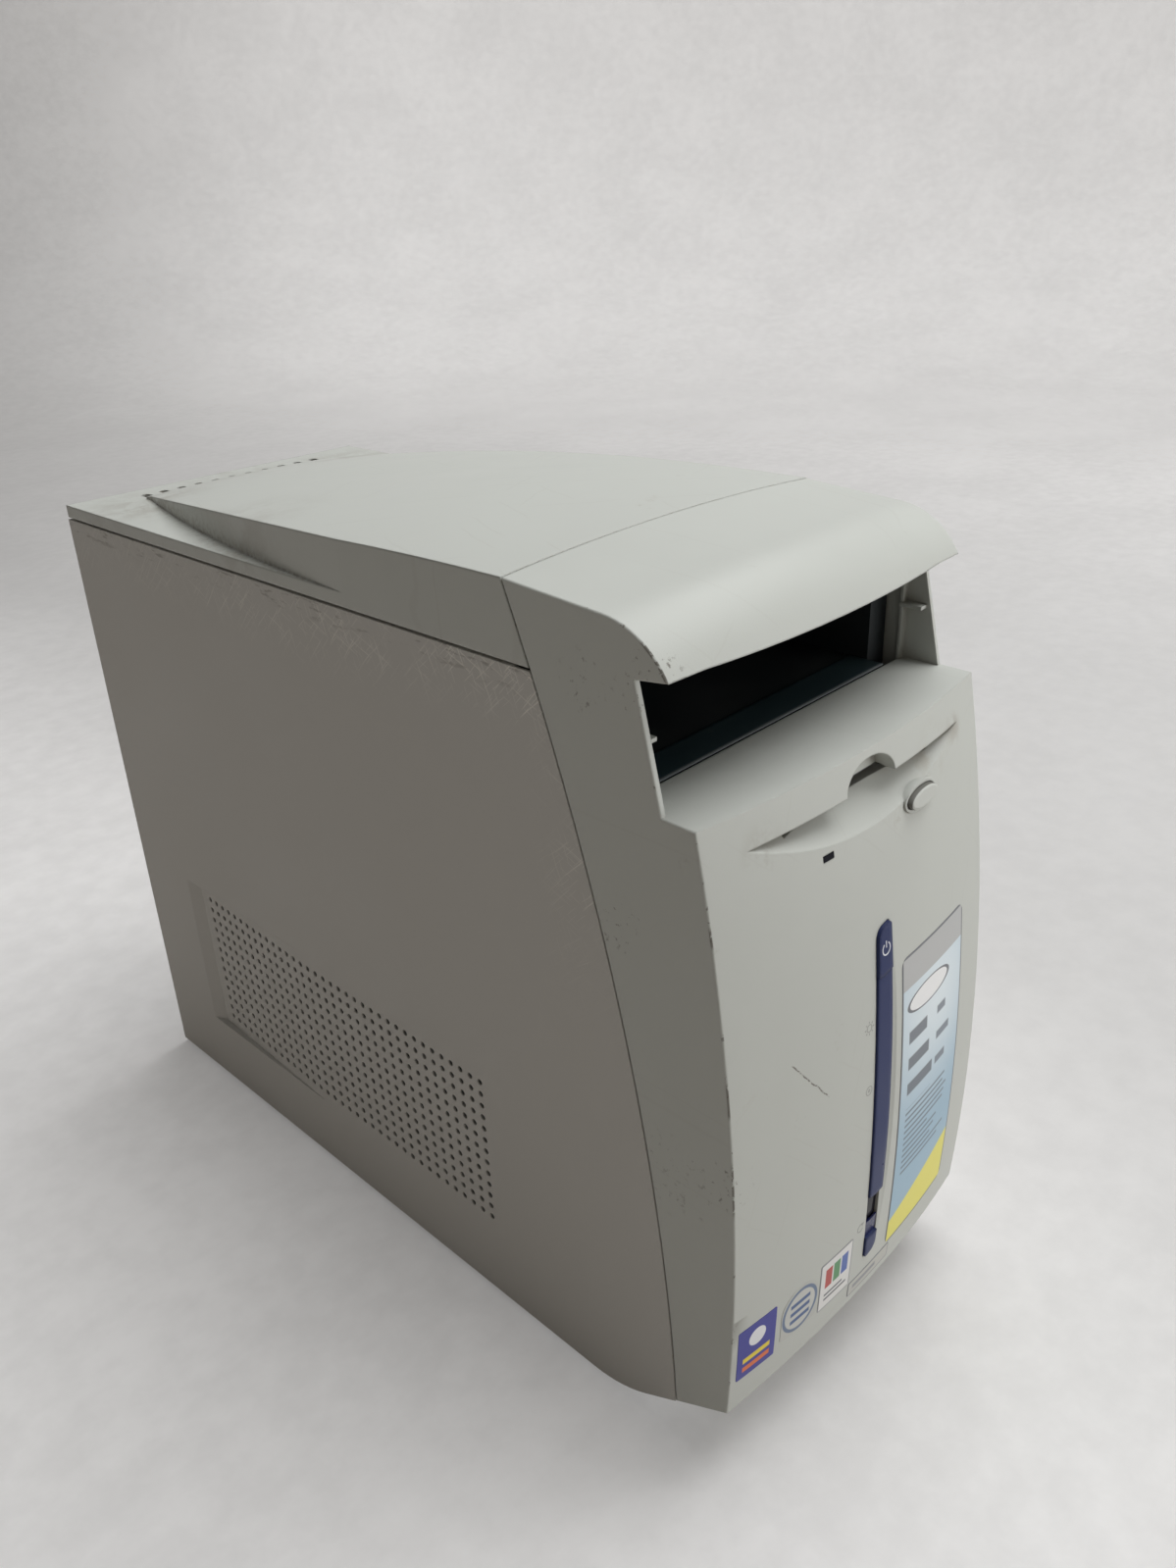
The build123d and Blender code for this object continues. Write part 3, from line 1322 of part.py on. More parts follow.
psu_board_z = psu_bottom_z + sheet + psu_peg_height
psu_board_half = psu_half_width - psu_board_margin
psu_board_front_y = psu_front_y + psu_board_margin
psu_board_rear_y = psu_wall_y - psu_fan_depth - psu_board_margin
psu_board = block(-psu_board_half, psu_board_half, psu_board_front_y, psu_board_rear_y,
                  psu_board_z, psu_board_z + board_thickness)
for x in (-psu_board_half + psu_board_margin, psu_board_half - psu_board_margin):
    for y in (psu_board_front_y + psu_board_margin, psu_board_rear_y - psu_board_margin):
        psu_board = psu_board + rod_z(x, y, psu_bottom_z + sheet, psu_board_z, psu_peg_radius)
coil_y = psu_front_y + coil_setback
psu_board = psu_board + block(-coil_half_width, coil_half_width, coil_y, coil_y + coil_length, psu_board_z,
                              psu_board_z + coil_height)
for x in capacitor_places:
    psu_board = psu_board + rod_z(x, coil_y, psu_board_z, psu_board_z + capacitor_height, capacitor_radius)
plate_y = psu_front_y + cooling_plate_setback
for x in cooling_plate_places:
    psu_board = psu_board + block(x, x + cooling_plate, plate_y, plate_y + cooling_plate_length, psu_board_z,
                                  psu_board_z + cooling_plate_height)
save("psu_board", psu_board)

# Main board

board_back_x = board_x + board_thickness
board = block(board_x, board_back_x, board_front_y, board_rear_y,
              board_bottom_z, board_bottom_z + board_height)
standoffs = []
for y in (board_front_y + fixing_front, board_rear_y - fixing_rear):
    for z in fixing_heights:
        board = board - rod_x(board_x - sheet, board_back_x + sheet, y, z, screw_radius + fit_gap)
        post = rod_x(board_back_x, tray_x, y, z, standoff_radius)
        standoffs.append(post - rod_x(board_x, board_back_x + fixing_reach + fit_gap, y, z, screw_radius))
        shank = rod_x(board_x, board_back_x + fixing_reach, y, z, screw_radius - slide_gap)
        case_screws.append(shank + rod_x(board_x - fixing_head_height, board_x, y, z, 2 * screw_radius))
save("main_board", board)
save("board_standoffs", *standoffs)
save("case_screws", *case_screws)

sink_x = board_x - cpu_socket_height
sink_half = heatsink_size / 2
fin_x = sink_x - heatsink_base
fin_end_x = sink_x - heatsink_height
save("processor_socket", block(sink_x, board_x, cpu_y - cpu_socket_half, cpu_y + cpu_socket_half,
                               cpu_z - cpu_socket_half, cpu_z + cpu_socket_half))
sink = block(fin_x, sink_x, cpu_y - sink_half, cpu_y + sink_half, cpu_z - sink_half, cpu_z + sink_half)
fin_pitch = (heatsink_size - fin_thickness) / (fin_count - 1)
for index in range(fin_count):
    y = cpu_y - sink_half + index * fin_pitch
    sink = sink + block(fin_end_x, fin_x, y, y + fin_thickness, cpu_z - sink_half, cpu_z + sink_half)
save("heatsink", sink)
cpu_fan_place = Pos(fin_end_x - cpu_fan_depth, cpu_y, cpu_z) * Rot(0, 90, 0)
save("cpu_fan_frame", cpu_fan_place * fan_frame(heatsink_size, cpu_fan_depth))
save("cpu_fan_rotor", cpu_fan_place * fan_rotor(heatsink_size, cpu_fan_depth))

sockets = []
memory_half = memory_thickness / 2
memory_seat_x = board_x - memory_seat
for inset in memory_insets:
    y = board_rear_y - inset
    body = block(board_x - memory_socket_height, board_x, y - memory_socket_half, y + memory_socket_half,
                 memory_low_z, memory_high_z)
    seat = block(board_x - 2 * memory_socket_height, memory_seat_x, y - memory_half - slide_gap,
                 y + memory_half + slide_gap, memory_low_z + sheet, memory_high_z - sheet)
    sockets.append(body - seat)
memory_y = board_rear_y - memory_insets[0]
module_low_z = memory_low_z + sheet + fit_gap
module = block(memory_seat_x - memory_height, memory_seat_x, memory_y - memory_half, memory_y + memory_half,
               module_low_z, memory_high_z - sheet - fit_gap)
chip_x = memory_seat_x - memory_chip_low
for index in range(memory_chip_count):
    z = module_low_z + memory_chip_pitch * (index + 0.25)
    chip_y = memory_y - memory_half - memory_chip_thickness
    module = module + block(chip_x - memory_chip_width, chip_x, chip_y, memory_y, z, z + memory_chip_height)
save("memory_module", module)

card_half = card_thickness / 2
for z in slot_heights:
    body = block(board_x - slot_socket_height, board_x, slot_socket_front_y, slot_socket_rear_y,
                 z - slot_socket_half, z + slot_socket_half)
    seat = block(board_x - 2 * slot_socket_height, board_x - slot_socket_seat, slot_socket_front_y + sheet,
                 slot_socket_rear_y - sheet, z - card_half - slide_gap, z + card_half + slide_gap)
    sockets.append(body - seat)

chip_front_y = chip_set_y - chip_set_half
chip_low_z = chip_set_z - chip_set_half
chip_high_z = chip_set_z + chip_set_half
chip_face_x = board_x - chip_set_height
chip = block(chip_face_x, board_x, chip_front_y, chip_set_y + chip_set_half, chip_low_z, chip_high_z)
chip_fin_pitch = (2 * chip_set_half - chip_fin_thickness) / (chip_fin_count - 1)
for index in range(chip_fin_count):
    y = chip_front_y + index * chip_fin_pitch
    chip = chip + block(chip_face_x - chip_fin_height, chip_face_x, y, y + chip_fin_thickness,
                        chip_low_z, chip_high_z)
save("chip_set", chip)

holder_x = board_x - coin_holder_height
holder = block(holder_x, board_x, coin_cell_y - coin_holder_half_y, coin_cell_y + coin_holder_half_y,
               coin_cell_z - coin_holder_half_z, coin_cell_z + coin_holder_half_z)
sockets.append(holder)
save("coin_cell", rod_x(holder_x - coin_cell_height, holder_x, coin_cell_y, coin_cell_z, coin_cell_radius))

# Expansion slot covers and the modem card

brackets = []
for z in slot_heights:
    low_z = z + slot_shift - bracket_half
    high_z = z + slot_shift + bracket_half
    plate = block(bracket_low_x, bracket_high_x, bracket_y, rear_plane_y, low_z, high_z)
    tab = block(bracket_low_x, bracket_low_x + sheet, bracket_y - bracket_tab, rear_plane_y, low_z, high_z)
    brackets.append(plate + tab)
card_z = slot_heights[0]
card_top_z = card_z + card_half
card = block(card_low_x, board_x - slot_socket_seat, card_front_y, bracket_y - fit_gap,
             card_z - card_half, card_top_z)
edge_x = board_x - slot_socket_height - sheet
card = card - block(edge_x, board_x, 0, slot_socket_front_y + sheet + slide_gap, 0, case_depth)
card = card - block(edge_x, board_x, slot_socket_rear_y - sheet - slide_gap, case_depth, 0, case_depth)
for inset in card_chip_insets:
    y = board_rear_y - inset
    card = card + block(card_chip_low_x, card_chip_low_x + card_chip_size, y, y + card_chip_size, card_top_z,
                        card_top_z + card_chip_height)
jack_back_y = rear_plane_y - jack_length
jack_face_y = rear_plane_y + jack_proud
for x in jack_places:
    jack_half = jack_width / 2
    jack = block(x - jack_half, x + jack_half, jack_back_y, jack_face_y, card_top_z, card_top_z + jack_height)
    jack = jack - block(x - jack_half + jack_wall, x + jack_half - jack_wall, jack_back_y + jack_wall,
                        jack_face_y + sheet, card_top_z + jack_wall, card_top_z + jack_height - jack_wall)
    card = card + jack
    window = block(x - jack_half - slide_gap, x + jack_half + slide_gap, bracket_y - sheet, rear_face_y,
                   card_top_z - slide_gap, card_top_z + jack_height + slide_gap)
    brackets[0] = brackets[0] - window
save("modem_card", card)
save("slot_brackets", *brackets)

# Rear ports and the shield round them

port_front_y = board_rear_y - port_length
port_out_y = rear_plane_y + port_reach
low_port_x = board_x - port_half
high_port_x = board_x - 3 * port_half
shield = block(port_low_x - 3 * sheet, port_high_x, bracket_y, rear_plane_y,
               port_low_z - 3 * sheet, port_high_z + 3 * sheet)


def opening(x, z, half_x, half_z):
    """A rectangular hole through the shield with the usual clearance."""
    reach_x = half_x + slide_gap
    reach_z = half_z + slide_gap
    return block(x - reach_x, x + reach_x, bracket_y - sheet, rear_face_y, z - reach_z, z + reach_z)


def d_port(x, z, length):
    """A port with a hollow shell and a jack screw at each end."""
    end = length / 2
    shell = end - d_shell_end
    body = block(x - port_half, x + port_half, port_front_y, bracket_y, z - end, z + end)
    body = body + block(x - d_shell_half, x + d_shell_half, bracket_y, port_out_y, z - shell, z + shell)
    hollow_x = d_shell_half - d_shell_wall
    hollow_z = shell - d_shell_wall
    body = body - block(x - hollow_x, x + hollow_x, port_out_y - d_shell_depth, port_out_y,
                        z - hollow_z, z + hollow_z)
    for side in (-1, 1):
        body = body + rod_y(x, bracket_y, port_out_y, z + side * (end - d_screw_end), d_screw_radius)
    return body


d_places = (
    (high_port_x, game_port_z, game_port_length),
    (low_port_x, serial_port_z, nine_pin_length),
    (low_port_x, video_port_z, nine_pin_length),
    (high_port_x, parallel_port_z, parallel_port_length),
)
d_ports = []
for x, z, length in d_places:
    d_ports.append(d_port(x, z, length))
    shield = shield - opening(x, z, d_shell_half, length / 2 - slide_gap)
save("d_ports", *d_ports)

audio = []
for z in audio_places:
    jack = block(board_x - 2 * port_half, board_x, port_front_y, bracket_y, z - audio_half, z + audio_half)
    jack = jack + rod_y(low_port_x, bracket_y, port_out_y, z, audio_collar_radius)
    audio.append(jack - rod_y(low_port_x, port_front_y + sheet, port_out_y + sheet, z, audio_bore_radius))
    shield = shield - rod_y(low_port_x, bracket_y - sheet, rear_face_y, z, audio_collar_radius + fit_gap)
save("audio_jacks", *audio)

usb = []
usb_face_y = rear_plane_y + usb_reach
for x in (board_x - usb_half_x, board_x - 3 * usb_half_x):
    shell = block(x - usb_half_x, x + usb_half_x, port_front_y, usb_face_y,
                  usb_z - usb_half_z, usb_z + usb_half_z)
    hollow_x = usb_half_x - usb_wall
    hollow_z = usb_half_z - usb_wall
    shell = shell - block(x - hollow_x, x + hollow_x, usb_face_y - usb_depth, usb_face_y,
                          usb_z - hollow_z, usb_z + hollow_z)
    shell = shell + block(x - usb_tongue, x, usb_face_y - usb_depth, usb_face_y - usb_wall,
                          usb_z - hollow_z + usb_wall, usb_z + hollow_z - usb_wall)
    usb.append(shell)
    shield = shield - opening(x, usb_z, usb_half_x, usb_half_z)
save("usb_ports", *usb)

keyboard = block(board_x - keyboard_height, board_x, port_front_y, bracket_y,
                 keyboard_z - keyboard_half_z, keyboard_z + keyboard_half_z)
collar_y = rear_plane_y + keyboard_reach
for x in (board_x - keyboard_low, board_x - keyboard_low - keyboard_pitch):
    keyboard = keyboard + rod_y(x, bracket_y, collar_y, keyboard_z, keyboard_collar_radius)
    keyboard = keyboard - rod_y(x, collar_y - keyboard_depth, collar_y + sheet, keyboard_z,
                                keyboard_bore_radius)
    shield = shield - rod_y(x, bracket_y - sheet, rear_face_y, keyboard_z, keyboard_collar_radius + fit_gap)
save("keyboard_ports", keyboard)
save("port_shield", shield)

# Headers, ribbon cables, plugs and power leads

header_x = board_x - header_height
ribbon_x = header_x - plug_height
turn_x = ribbon_x - ribbon_bend - ribbon_thickness
outer_bend = ribbon_bend + ribbon_thickness
hard_header_front_y = hard_header_y - header_width / 2
hard_header_rear_y = hard_header_y + header_width / 2
floppy_header_low_z = floppy_header_z - header_width / 2
floppy_header_high_z = floppy_header_z + header_width / 2
sockets.append(block(header_x, board_x, hard_header_front_y, hard_header_rear_y,
                     hard_header_low_z, hard_header_high_z))
sockets.append(block(header_x, board_x, floppy_header_front_y, floppy_header_rear_y,
                     floppy_header_low_z, floppy_header_high_z))
power_header_x = board_x - power_header_height
sockets.append(block(power_header_x, board_x, power_header_front_y, power_header_rear_y,
                     power_header_low_z, power_header_high_z))
save("board_sockets", *sockets)

hard_plug_low_z = hard_bottom_z + hard_plug_rise
hard_plug_high_z = hard_plug_low_z + header_width
hard_run_y = hard_rear_y + plug_height
hard_back_y = hard_run_y + ribbon_thickness
hard_left_x = hard_plug_x - ribbon_half
hard_right_x = hard_plug_x + ribbon_half
fold_low_z = hard_fold_high_z - 2 * ribbon_half
hard_ribbon = extrude(front_plane(hard_back_y) * make_face(Polyline(
    (hard_left_x, hard_plug_high_z), (hard_right_x, hard_plug_high_z), (hard_right_x, hard_fold_high_z),
    (turn_x, hard_fold_high_z), (turn_x, fold_low_z), (hard_right_x, fold_low_z),
    (hard_left_x, hard_fold_high_z), close=True)), amount=ribbon_thickness)
quarter = extrude(Circle(outer_bend) - Circle(ribbon_bend), amount=2 * ribbon_half)
quarter = quarter & block(0, far, -far, 0, -far, far)
hard_turn_y = hard_back_y + ribbon_bend
hard_ribbon = hard_ribbon + Pos(turn_x, hard_turn_y, fold_low_z) * quarter
hard_ribbon = hard_ribbon + block(ribbon_x - ribbon_thickness, ribbon_x, hard_turn_y, hard_header_rear_y,
                                  fold_low_z, hard_fold_high_z)

floppy_plug_z = floppy_bottom_z + floppy_plug_rise
floppy_run_y = floppy_rear_y + plug_height
floppy_flat_z = floppy_plug_z - ribbon_thickness / 2
floppy_fold = floppy_header_rear_y - floppy_header_front_y
flat = Pos(0, 0, floppy_flat_z) * extrude(make_face(Polyline(
    (-floppy_ribbon_half, floppy_run_y), (floppy_ribbon_half, floppy_run_y),
    (floppy_ribbon_half, floppy_header_front_y), (turn_x, floppy_header_front_y),
    (turn_x, floppy_header_rear_y), (floppy_ribbon_half, floppy_header_rear_y),
    (-floppy_ribbon_half, floppy_header_front_y),
    close=True)), amount=ribbon_thickness)
quarter = extrude(Circle(outer_bend) - Circle(ribbon_bend), amount=floppy_fold)
quarter = quarter & block(0, far, 0, far, -far, far)
floppy_turn_z = floppy_flat_z - ribbon_bend
quarter = Pos(turn_x, floppy_header_rear_y, floppy_turn_z) * Rot(90, 0, 0) * quarter
floppy_ribbon = flat + quarter + block(ribbon_x - ribbon_thickness, ribbon_x, floppy_header_front_y,
                                       floppy_header_rear_y, floppy_header_low_z, floppy_turn_z)
save("ribbon_cables", hard_ribbon, floppy_ribbon)


def lead(points, radius):
    """A round lead along straight runs joined by arcs."""
    path = FilletPolyline(*points, radius=radius)
    return sweep(Plane(origin=path @ 0, z_dir=path % 0) * Circle(lead_radius), path)


power_header_z = (power_header_low_z + power_header_high_z) / 2
lead_start_y = psu_front_y + 2 * sheet
main_turn_y = psu_front_y - main_lead_front
main_lead = lead([
    (main_lead_x, lead_start_y, lead_z), (main_lead_x, main_turn_y, lead_z),
    (main_lead_x, main_turn_y, power_header_z), (main_lead_x, main_lead_end_y, power_header_z),
    (power_header_x, main_lead_end_y, power_header_z)], main_lead_bend)
drive_plug_rear_y = hard_rear_y + drive_plug_length
drive_plug_y = (hard_rear_y + drive_plug_rear_y) / 2
drive_lead = lead([
    (drive_lead_x, lead_start_y, lead_z), (drive_lead_x, drive_plug_y, lead_z),
    (drive_lead_x, drive_plug_y, hard_plug_high_z)], drive_lead_bend)
save("power_leads", main_lead, drive_lead)

save(
    "cable_plugs",
    block(hard_plug_x - hard_plug_half, hard_plug_x + hard_plug_half, hard_rear_y, hard_run_y,
          hard_plug_low_z, hard_plug_high_z),
    block(-floppy_plug_half, floppy_plug_half, floppy_rear_y, floppy_run_y,
          floppy_plug_z - header_width / 2, floppy_plug_z + header_width / 2),
    block(ribbon_x, header_x, hard_header_front_y, hard_header_rear_y, hard_header_low_z, hard_header_high_z),
    block(ribbon_x, header_x, floppy_header_front_y, floppy_header_rear_y,
          floppy_header_low_z, floppy_header_high_z),
    block(drive_lead_x - drive_plug_half, drive_lead_x + drive_plug_half, hard_rear_y, drive_plug_rear_y,
          hard_plug_low_z, hard_plug_high_z),
)
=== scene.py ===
from math import cos, pi, radians, sin, sqrt

import bmesh
import bpy
from mathutils import Matrix, Vector


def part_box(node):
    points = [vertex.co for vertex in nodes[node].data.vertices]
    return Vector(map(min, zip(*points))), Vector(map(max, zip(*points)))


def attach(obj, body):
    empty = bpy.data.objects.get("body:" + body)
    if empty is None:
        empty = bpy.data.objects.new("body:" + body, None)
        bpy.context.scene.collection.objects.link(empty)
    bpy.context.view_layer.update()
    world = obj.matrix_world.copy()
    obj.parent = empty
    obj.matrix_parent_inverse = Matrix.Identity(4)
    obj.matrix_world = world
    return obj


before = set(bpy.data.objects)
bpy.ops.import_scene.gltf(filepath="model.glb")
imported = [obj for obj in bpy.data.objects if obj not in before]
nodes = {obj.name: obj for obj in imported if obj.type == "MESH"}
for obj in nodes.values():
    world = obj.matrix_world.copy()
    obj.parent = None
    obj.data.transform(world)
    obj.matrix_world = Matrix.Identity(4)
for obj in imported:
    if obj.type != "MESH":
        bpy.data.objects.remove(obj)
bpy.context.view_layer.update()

# Steel chassis: base pan, board tray, top plate, rear panel, lower drive cage, card slot covers and the
# can of the power supply. Folded from zinc-coated sheet, riveted and screwed together, with a dull
# crystal pattern from the zinc bath and grey handling marks.


def feed(tree, node, inputs):
    """Give a node's inputs plain values, or links where the value is a socket."""
    for key, value in inputs.items():
        if isinstance(value, bpy.types.NodeSocket):
            tree.links.new(value, node.inputs[key])
        else:
            node.inputs[key].default_value = value


def place(tree, kind, inputs=None, **settings):
    """Add a shader node with its settings and inputs."""
    node = tree.nodes.new("ShaderNode" + kind)
    for name, value in settings.items():
        setattr(node, name, value)
    feed(tree, node, inputs or {})
    return node


def calc(tree, operation, first, second=0.0):
    """One step of arithmetic on values."""
    return place(tree, "Math", {0: first, 1: second}, operation=operation).outputs[0]


def times(tree, first, *others):
    """Product of values."""
    for other in others:
        first = calc(tree, "MULTIPLY", first, other)
    return first


def ramp(tree, value, low, high):
    """0 below low, 1 above high and smooth between; low may be the larger one."""
    sockets = {0: value, 1: low, 2: high}
    return place(tree, "MapRange", sockets, interpolation_type="SMOOTHSTEP").outputs[0]


def tint(tree, factor, first, second):
    """Colour that goes from first to second with factor."""
    return place(tree, "Mix", {0: factor, 6: first, 7: second}, data_type="RGBA").outputs[2]


def noise(tree, point, scale, detail=3.0, rough=0.5):
    """Cloudy value between 0 and 1."""
    return place(tree, "TexNoise", {"Vector": point, "Scale": scale, "Detail": detail,
                                    "Roughness": rough}).outputs["Fac"]


def local_point(tree):
    """Place on the piece, in metres of the shared frame."""
    return place(tree, "TexCoord").outputs["Object"]


def new_group(name, inputs, outputs):
    """A shader node group with named sockets; gives its inputs and its end node too."""
    group = bpy.data.node_groups.new(name, "ShaderNodeTree")
    for label, kind, value in inputs:
        socket = group.interface.new_socket(label, in_out="INPUT", socket_type="NodeSocket" + kind)
        socket.default_value = value
    for label, kind in outputs:
        group.interface.new_socket(label, in_out="OUTPUT", socket_type="NodeSocket" + kind)
    return group, group.nodes.new("NodeGroupInput").outputs, group.nodes.new("NodeGroupOutput")


def use_group(tree, group, **inputs):
    """Put a group into a material with its own values."""
    node = tree.nodes.new("ShaderNodeGroup")
    node.node_tree = group
    feed(tree, node, inputs)
    return node.outputs


def new_finish(name, metallic=0.0, specular=0.5):
    """A material with one shader, whose constant sockets are set here."""
    material = bpy.data.materials.new(name)
    material.use_nodes = True
    shader = material.node_tree.nodes["Principled BSDF"]
    feed(material.node_tree, shader, {"Metallic": metallic, "Specular IOR Level": specular})
    return material, material.node_tree, shader


def roughen(tree, shader, height, strength, depth=0.0002, **normal):
    """Fine relief on a finish, from a height value."""
    dent = place(tree, "Bump", {"Height": height, "Strength": strength, "Distance": depth} | normal)
    feed(tree, shader, {"Normal": dent.outputs[0]})


def dress(material, *names):
    """Give CAD nodes a finish."""
    for name in names:
        nodes[name].data.materials.clear()
        nodes[name].data.materials.append(material)


soiling, given, end = new_group("soiling", [
    ("Colour", "Color", (0.5, 0.5, 0.5, 1)), ("Dirt", "Color", (0.1, 0.09, 0.07, 1)),
    ("Amount", "Float", 0.2), ("Patches", "Float", 20.0)], [("Colour", "Color")])
speck_scale, speck_share = 420.0, 0.12
clean_level, soft_band = 0.86, 0.22
spread = noise(soiling, local_point(soiling), given["Patches"], 8.0, 0.68)
speck = noise(soiling, local_point(soiling), speck_scale, 2.0)
start = calc(soiling, "SUBTRACT", clean_level, times(soiling, given["Amount"], 0.5))
patch = ramp(soiling, calc(soiling, "ADD", spread, times(soiling, speck, speck_share)), start,
             calc(soiling, "ADD", start, soft_band))
feed(soiling, end, {"Colour": tint(soiling, patch, given["Colour"], given["Dirt"])})


def soiled(tree, colour, dirt, amount, patches):
    """Colour with patches of dirt over it."""
    return use_group(tree, soiling, Colour=colour, Dirt=dirt, Amount=amount, Patches=patches)["Colour"]


grain, given, end = new_group("surface_grain", [("Grains", "Float", 1500.0)],
                              [("Height", "Float"), ("Tone", "Float")])
tone_scale = 14.0
feed(grain, end, {"Height": noise(grain, local_point(grain), given["Grains"], 2.0),
                  "Tone": noise(grain, local_point(grain), tone_scale, 5.0, 0.6)})

zinc, tree, shader = new_finish("zinc_sheet", metallic=1.0)
crystal = place(tree, "TexVoronoi", {"Vector": local_point(tree), "Scale": 140.0})
spangle = place(tree, "SeparateColor", {0: crystal.outputs["Color"]}).outputs[0]
fine = use_group(tree, grain, Grains=2600.0)
colour = tint(tree, spangle, (0.46, 0.47, 0.48, 1), (0.62, 0.63, 0.63, 1))
feed(tree, shader, {
    "Base Color": soiled(tree, colour, dirt=(0.22, 0.21, 0.19, 1), amount=0.55, patches=11.0),
    "Roughness": ramp(tree, calc(tree, "ADD", spangle, fine["Tone"]), -0.6, 3.0)})
roughen(tree, shader, fine["Height"], 0.05)
dress(zinc, "base_pan", "board_tray", "top_plate", "rear_panel", "lower_drive_cage", "slot_brackets",
      "psu_case", "psu_cover")

# Front frame and drive bay: the same sheet, painted dark before assembly so that the open bay looks
# black. The paint is thin and matt, and dusty on what faces up.


def grained(name, grains, rough, relief, depth=0.0002, **constants):
    """A finish with a fine grain, whose roughness is 0 and 1 at two tones; gives its tone too."""
    material, tree, shader = new_finish(name, **constants)
    fine = use_group(tree, grain, Grains=grains)
    feed(tree, shader, {"Roughness": ramp(tree, fine["Tone"], *rough)})
    roughen(tree, shader, fine["Height"], relief, depth)
    return material, tree, shader, fine["Tone"]


def lay(tree, under, over, *shares):
    """Colour laid over another one, as far as the product of the shares."""
    return tint(tree, times(tree, *shares), under, over)


def split(tree, vector):
    """The X, Y and Z of a vector."""
    return place(tree, "SeparateXYZ", {0: vector}).outputs


def surface_normal(tree):
    """Direction that the surface faces."""
    return place(tree, "NewGeometry").outputs["Normal"]


bay_paint, tree, shader, tone = grained("bay_paint", 1800.0, rough=(-1.0, 1.6), relief=0.10)
dust_share = 0.35
upward = split(tree, surface_normal(tree))[2]
dust = times(tree, ramp(tree, upward, 0.4, 1.0), ramp(tree, tone, 0.4, 0.75))
colour = tint(tree, tone, (0.004, 0.007, 0.008, 1), (0.009, 0.013, 0.015, 1))
feed(tree, shader, {"Base Color": lay(tree, colour, (0.03, 0.033, 0.031, 1), dust, dust_share)})
dress(bay_paint, "front_frame", "drive_bay_cage")

# Front strip of the bay floor: a folded strip of the same painted sheet, welded along the front edge of
# the floor to stiffen it. It is coloured lighter than the rest of the bay as painted light where light
# reaches in at the mouth, with a painted highlight along its front fold.


def add_mesh(name, form, material):
    """Turn a built form into an object of one finish in the scene."""
    bmesh.ops.recalc_face_normals(form, faces=form.faces[:])
    mesh = bpy.data.meshes.new(name)
    form.to_mesh(mesh)
    form.free()
    mesh.materials.append(material)
    piece = bpy.data.objects.new(name, mesh)
    bpy.context.scene.collection.objects.link(piece)
    return piece


bay_low, bay_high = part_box("drive_bay_cage")
strip_front, strip_depth, strip_lift = bay_low[1] - 0.0092, 0.0166, 0.0005
strip_floor = bay_low[2] + 0.001
strip_half = bay_high[0] - 0.0016
fold_start, fold_end = strip_front + 0.0008, strip_front + 0.0016
strip_paint_and_painted_light, tree, shader, tone = grained("strip_paint_and_painted_light", 1800.0, rough=(-0.4, 2.0), relief=0.06)
rubbed_off = ramp(tree, noise(tree, local_point(tree), 160.0, 4.0, 0.7), 0.62, 0.78)
# Painted light: the strip is coloured lighter than the bay paint, for the light that falls on it at the
# mouth.
colour = tint(tree, tone, (0.026, 0.047, 0.055, 1), (0.037, 0.062, 0.071, 1))
colour = tint(tree, rubbed_off, colour, (0.075, 0.085, 0.09, 1))
# Painted highlight: a pale line along the front fold.
fold_highlight = ramp(tree, split(tree, local_point(tree))[1], fold_end, fold_start)
feed(tree, shader, {"Base Color": tint(tree, fold_highlight, colour, (0.16, 0.18, 0.19, 1))})
form = bmesh.new()
fold = [(0.0, 0.0), (0.0, strip_lift * 0.6), (0.0005, strip_lift), (strip_depth - 0.0012, strip_lift),
        (strip_depth - 0.0004, strip_lift * 0.8), (strip_depth, strip_lift * 0.3), (strip_depth, 0.0)]
left_end, right_end = [[form.verts.new((x, strip_front + y, strip_floor + z)) for y, z in fold]
                       for x in (-strip_half, strip_half)]
form.faces.new(left_end)
form.faces.new(right_end)
for i in range(len(fold)):
    j = (i + 1) % len(fold)
    form.faces.new((left_end[i], left_end[j], right_end[j], right_end[i]))
bay_strip = add_mesh("bay_front_strip", form, strip_paint_and_painted_light)
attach(bay_strip, "chassis")

# Feet: four moulded rubber pads glued under the base pan. They are dull black, with floor dust on the
# rim.
rubber, tree, shader, tone = grained("foot_rubber", 900.0, rough=(-3.0, 1.4), relief=0.3, depth=0.0003)
colour = tint(tree, tone, (0.018, 0.018, 0.019, 1), (0.04, 0.04, 0.04, 1))
colour = soiled(tree, colour, dirt=(0.20, 0.19, 0.17, 1), amount=0.5, patches=60.0)
feed(tree, shader, {"Base Color": colour})
dress(rubber, "rubber_feet")

# Drives and speaker: the disk drive is a pressed steel box behind the bezel's slot, the hard drive and
# the heat sinks are aluminium castings, and the speaker is a small paper cone in a steel pot.


def toned(name, grains, dark, light, rough, relief, **constants):
    """A grained finish that wanders between two tones of its colour."""
    material, tree, shader, tone = grained(name, grains, rough, relief, **constants)
    feed(tree, shader, {"Base Color": tint(tree, tone, dark, light)})
    return material


dress(toned("drive_shell", 1500.0, (0.035, 0.036, 0.038, 1), (0.07, 0.072, 0.074, 1),
            rough=(-0.8, 1.5), relief=0.08, metallic=0.6), "floppy_drive", "speaker")
dress(toned("cast_aluminium", 700.0, (0.50, 0.51, 0.52, 1), (0.66, 0.67, 0.68, 1),
            rough=(-0.8, 1.4), relief=0.25, metallic=1.0), "hard_drive", "heatsink", "chip_set")

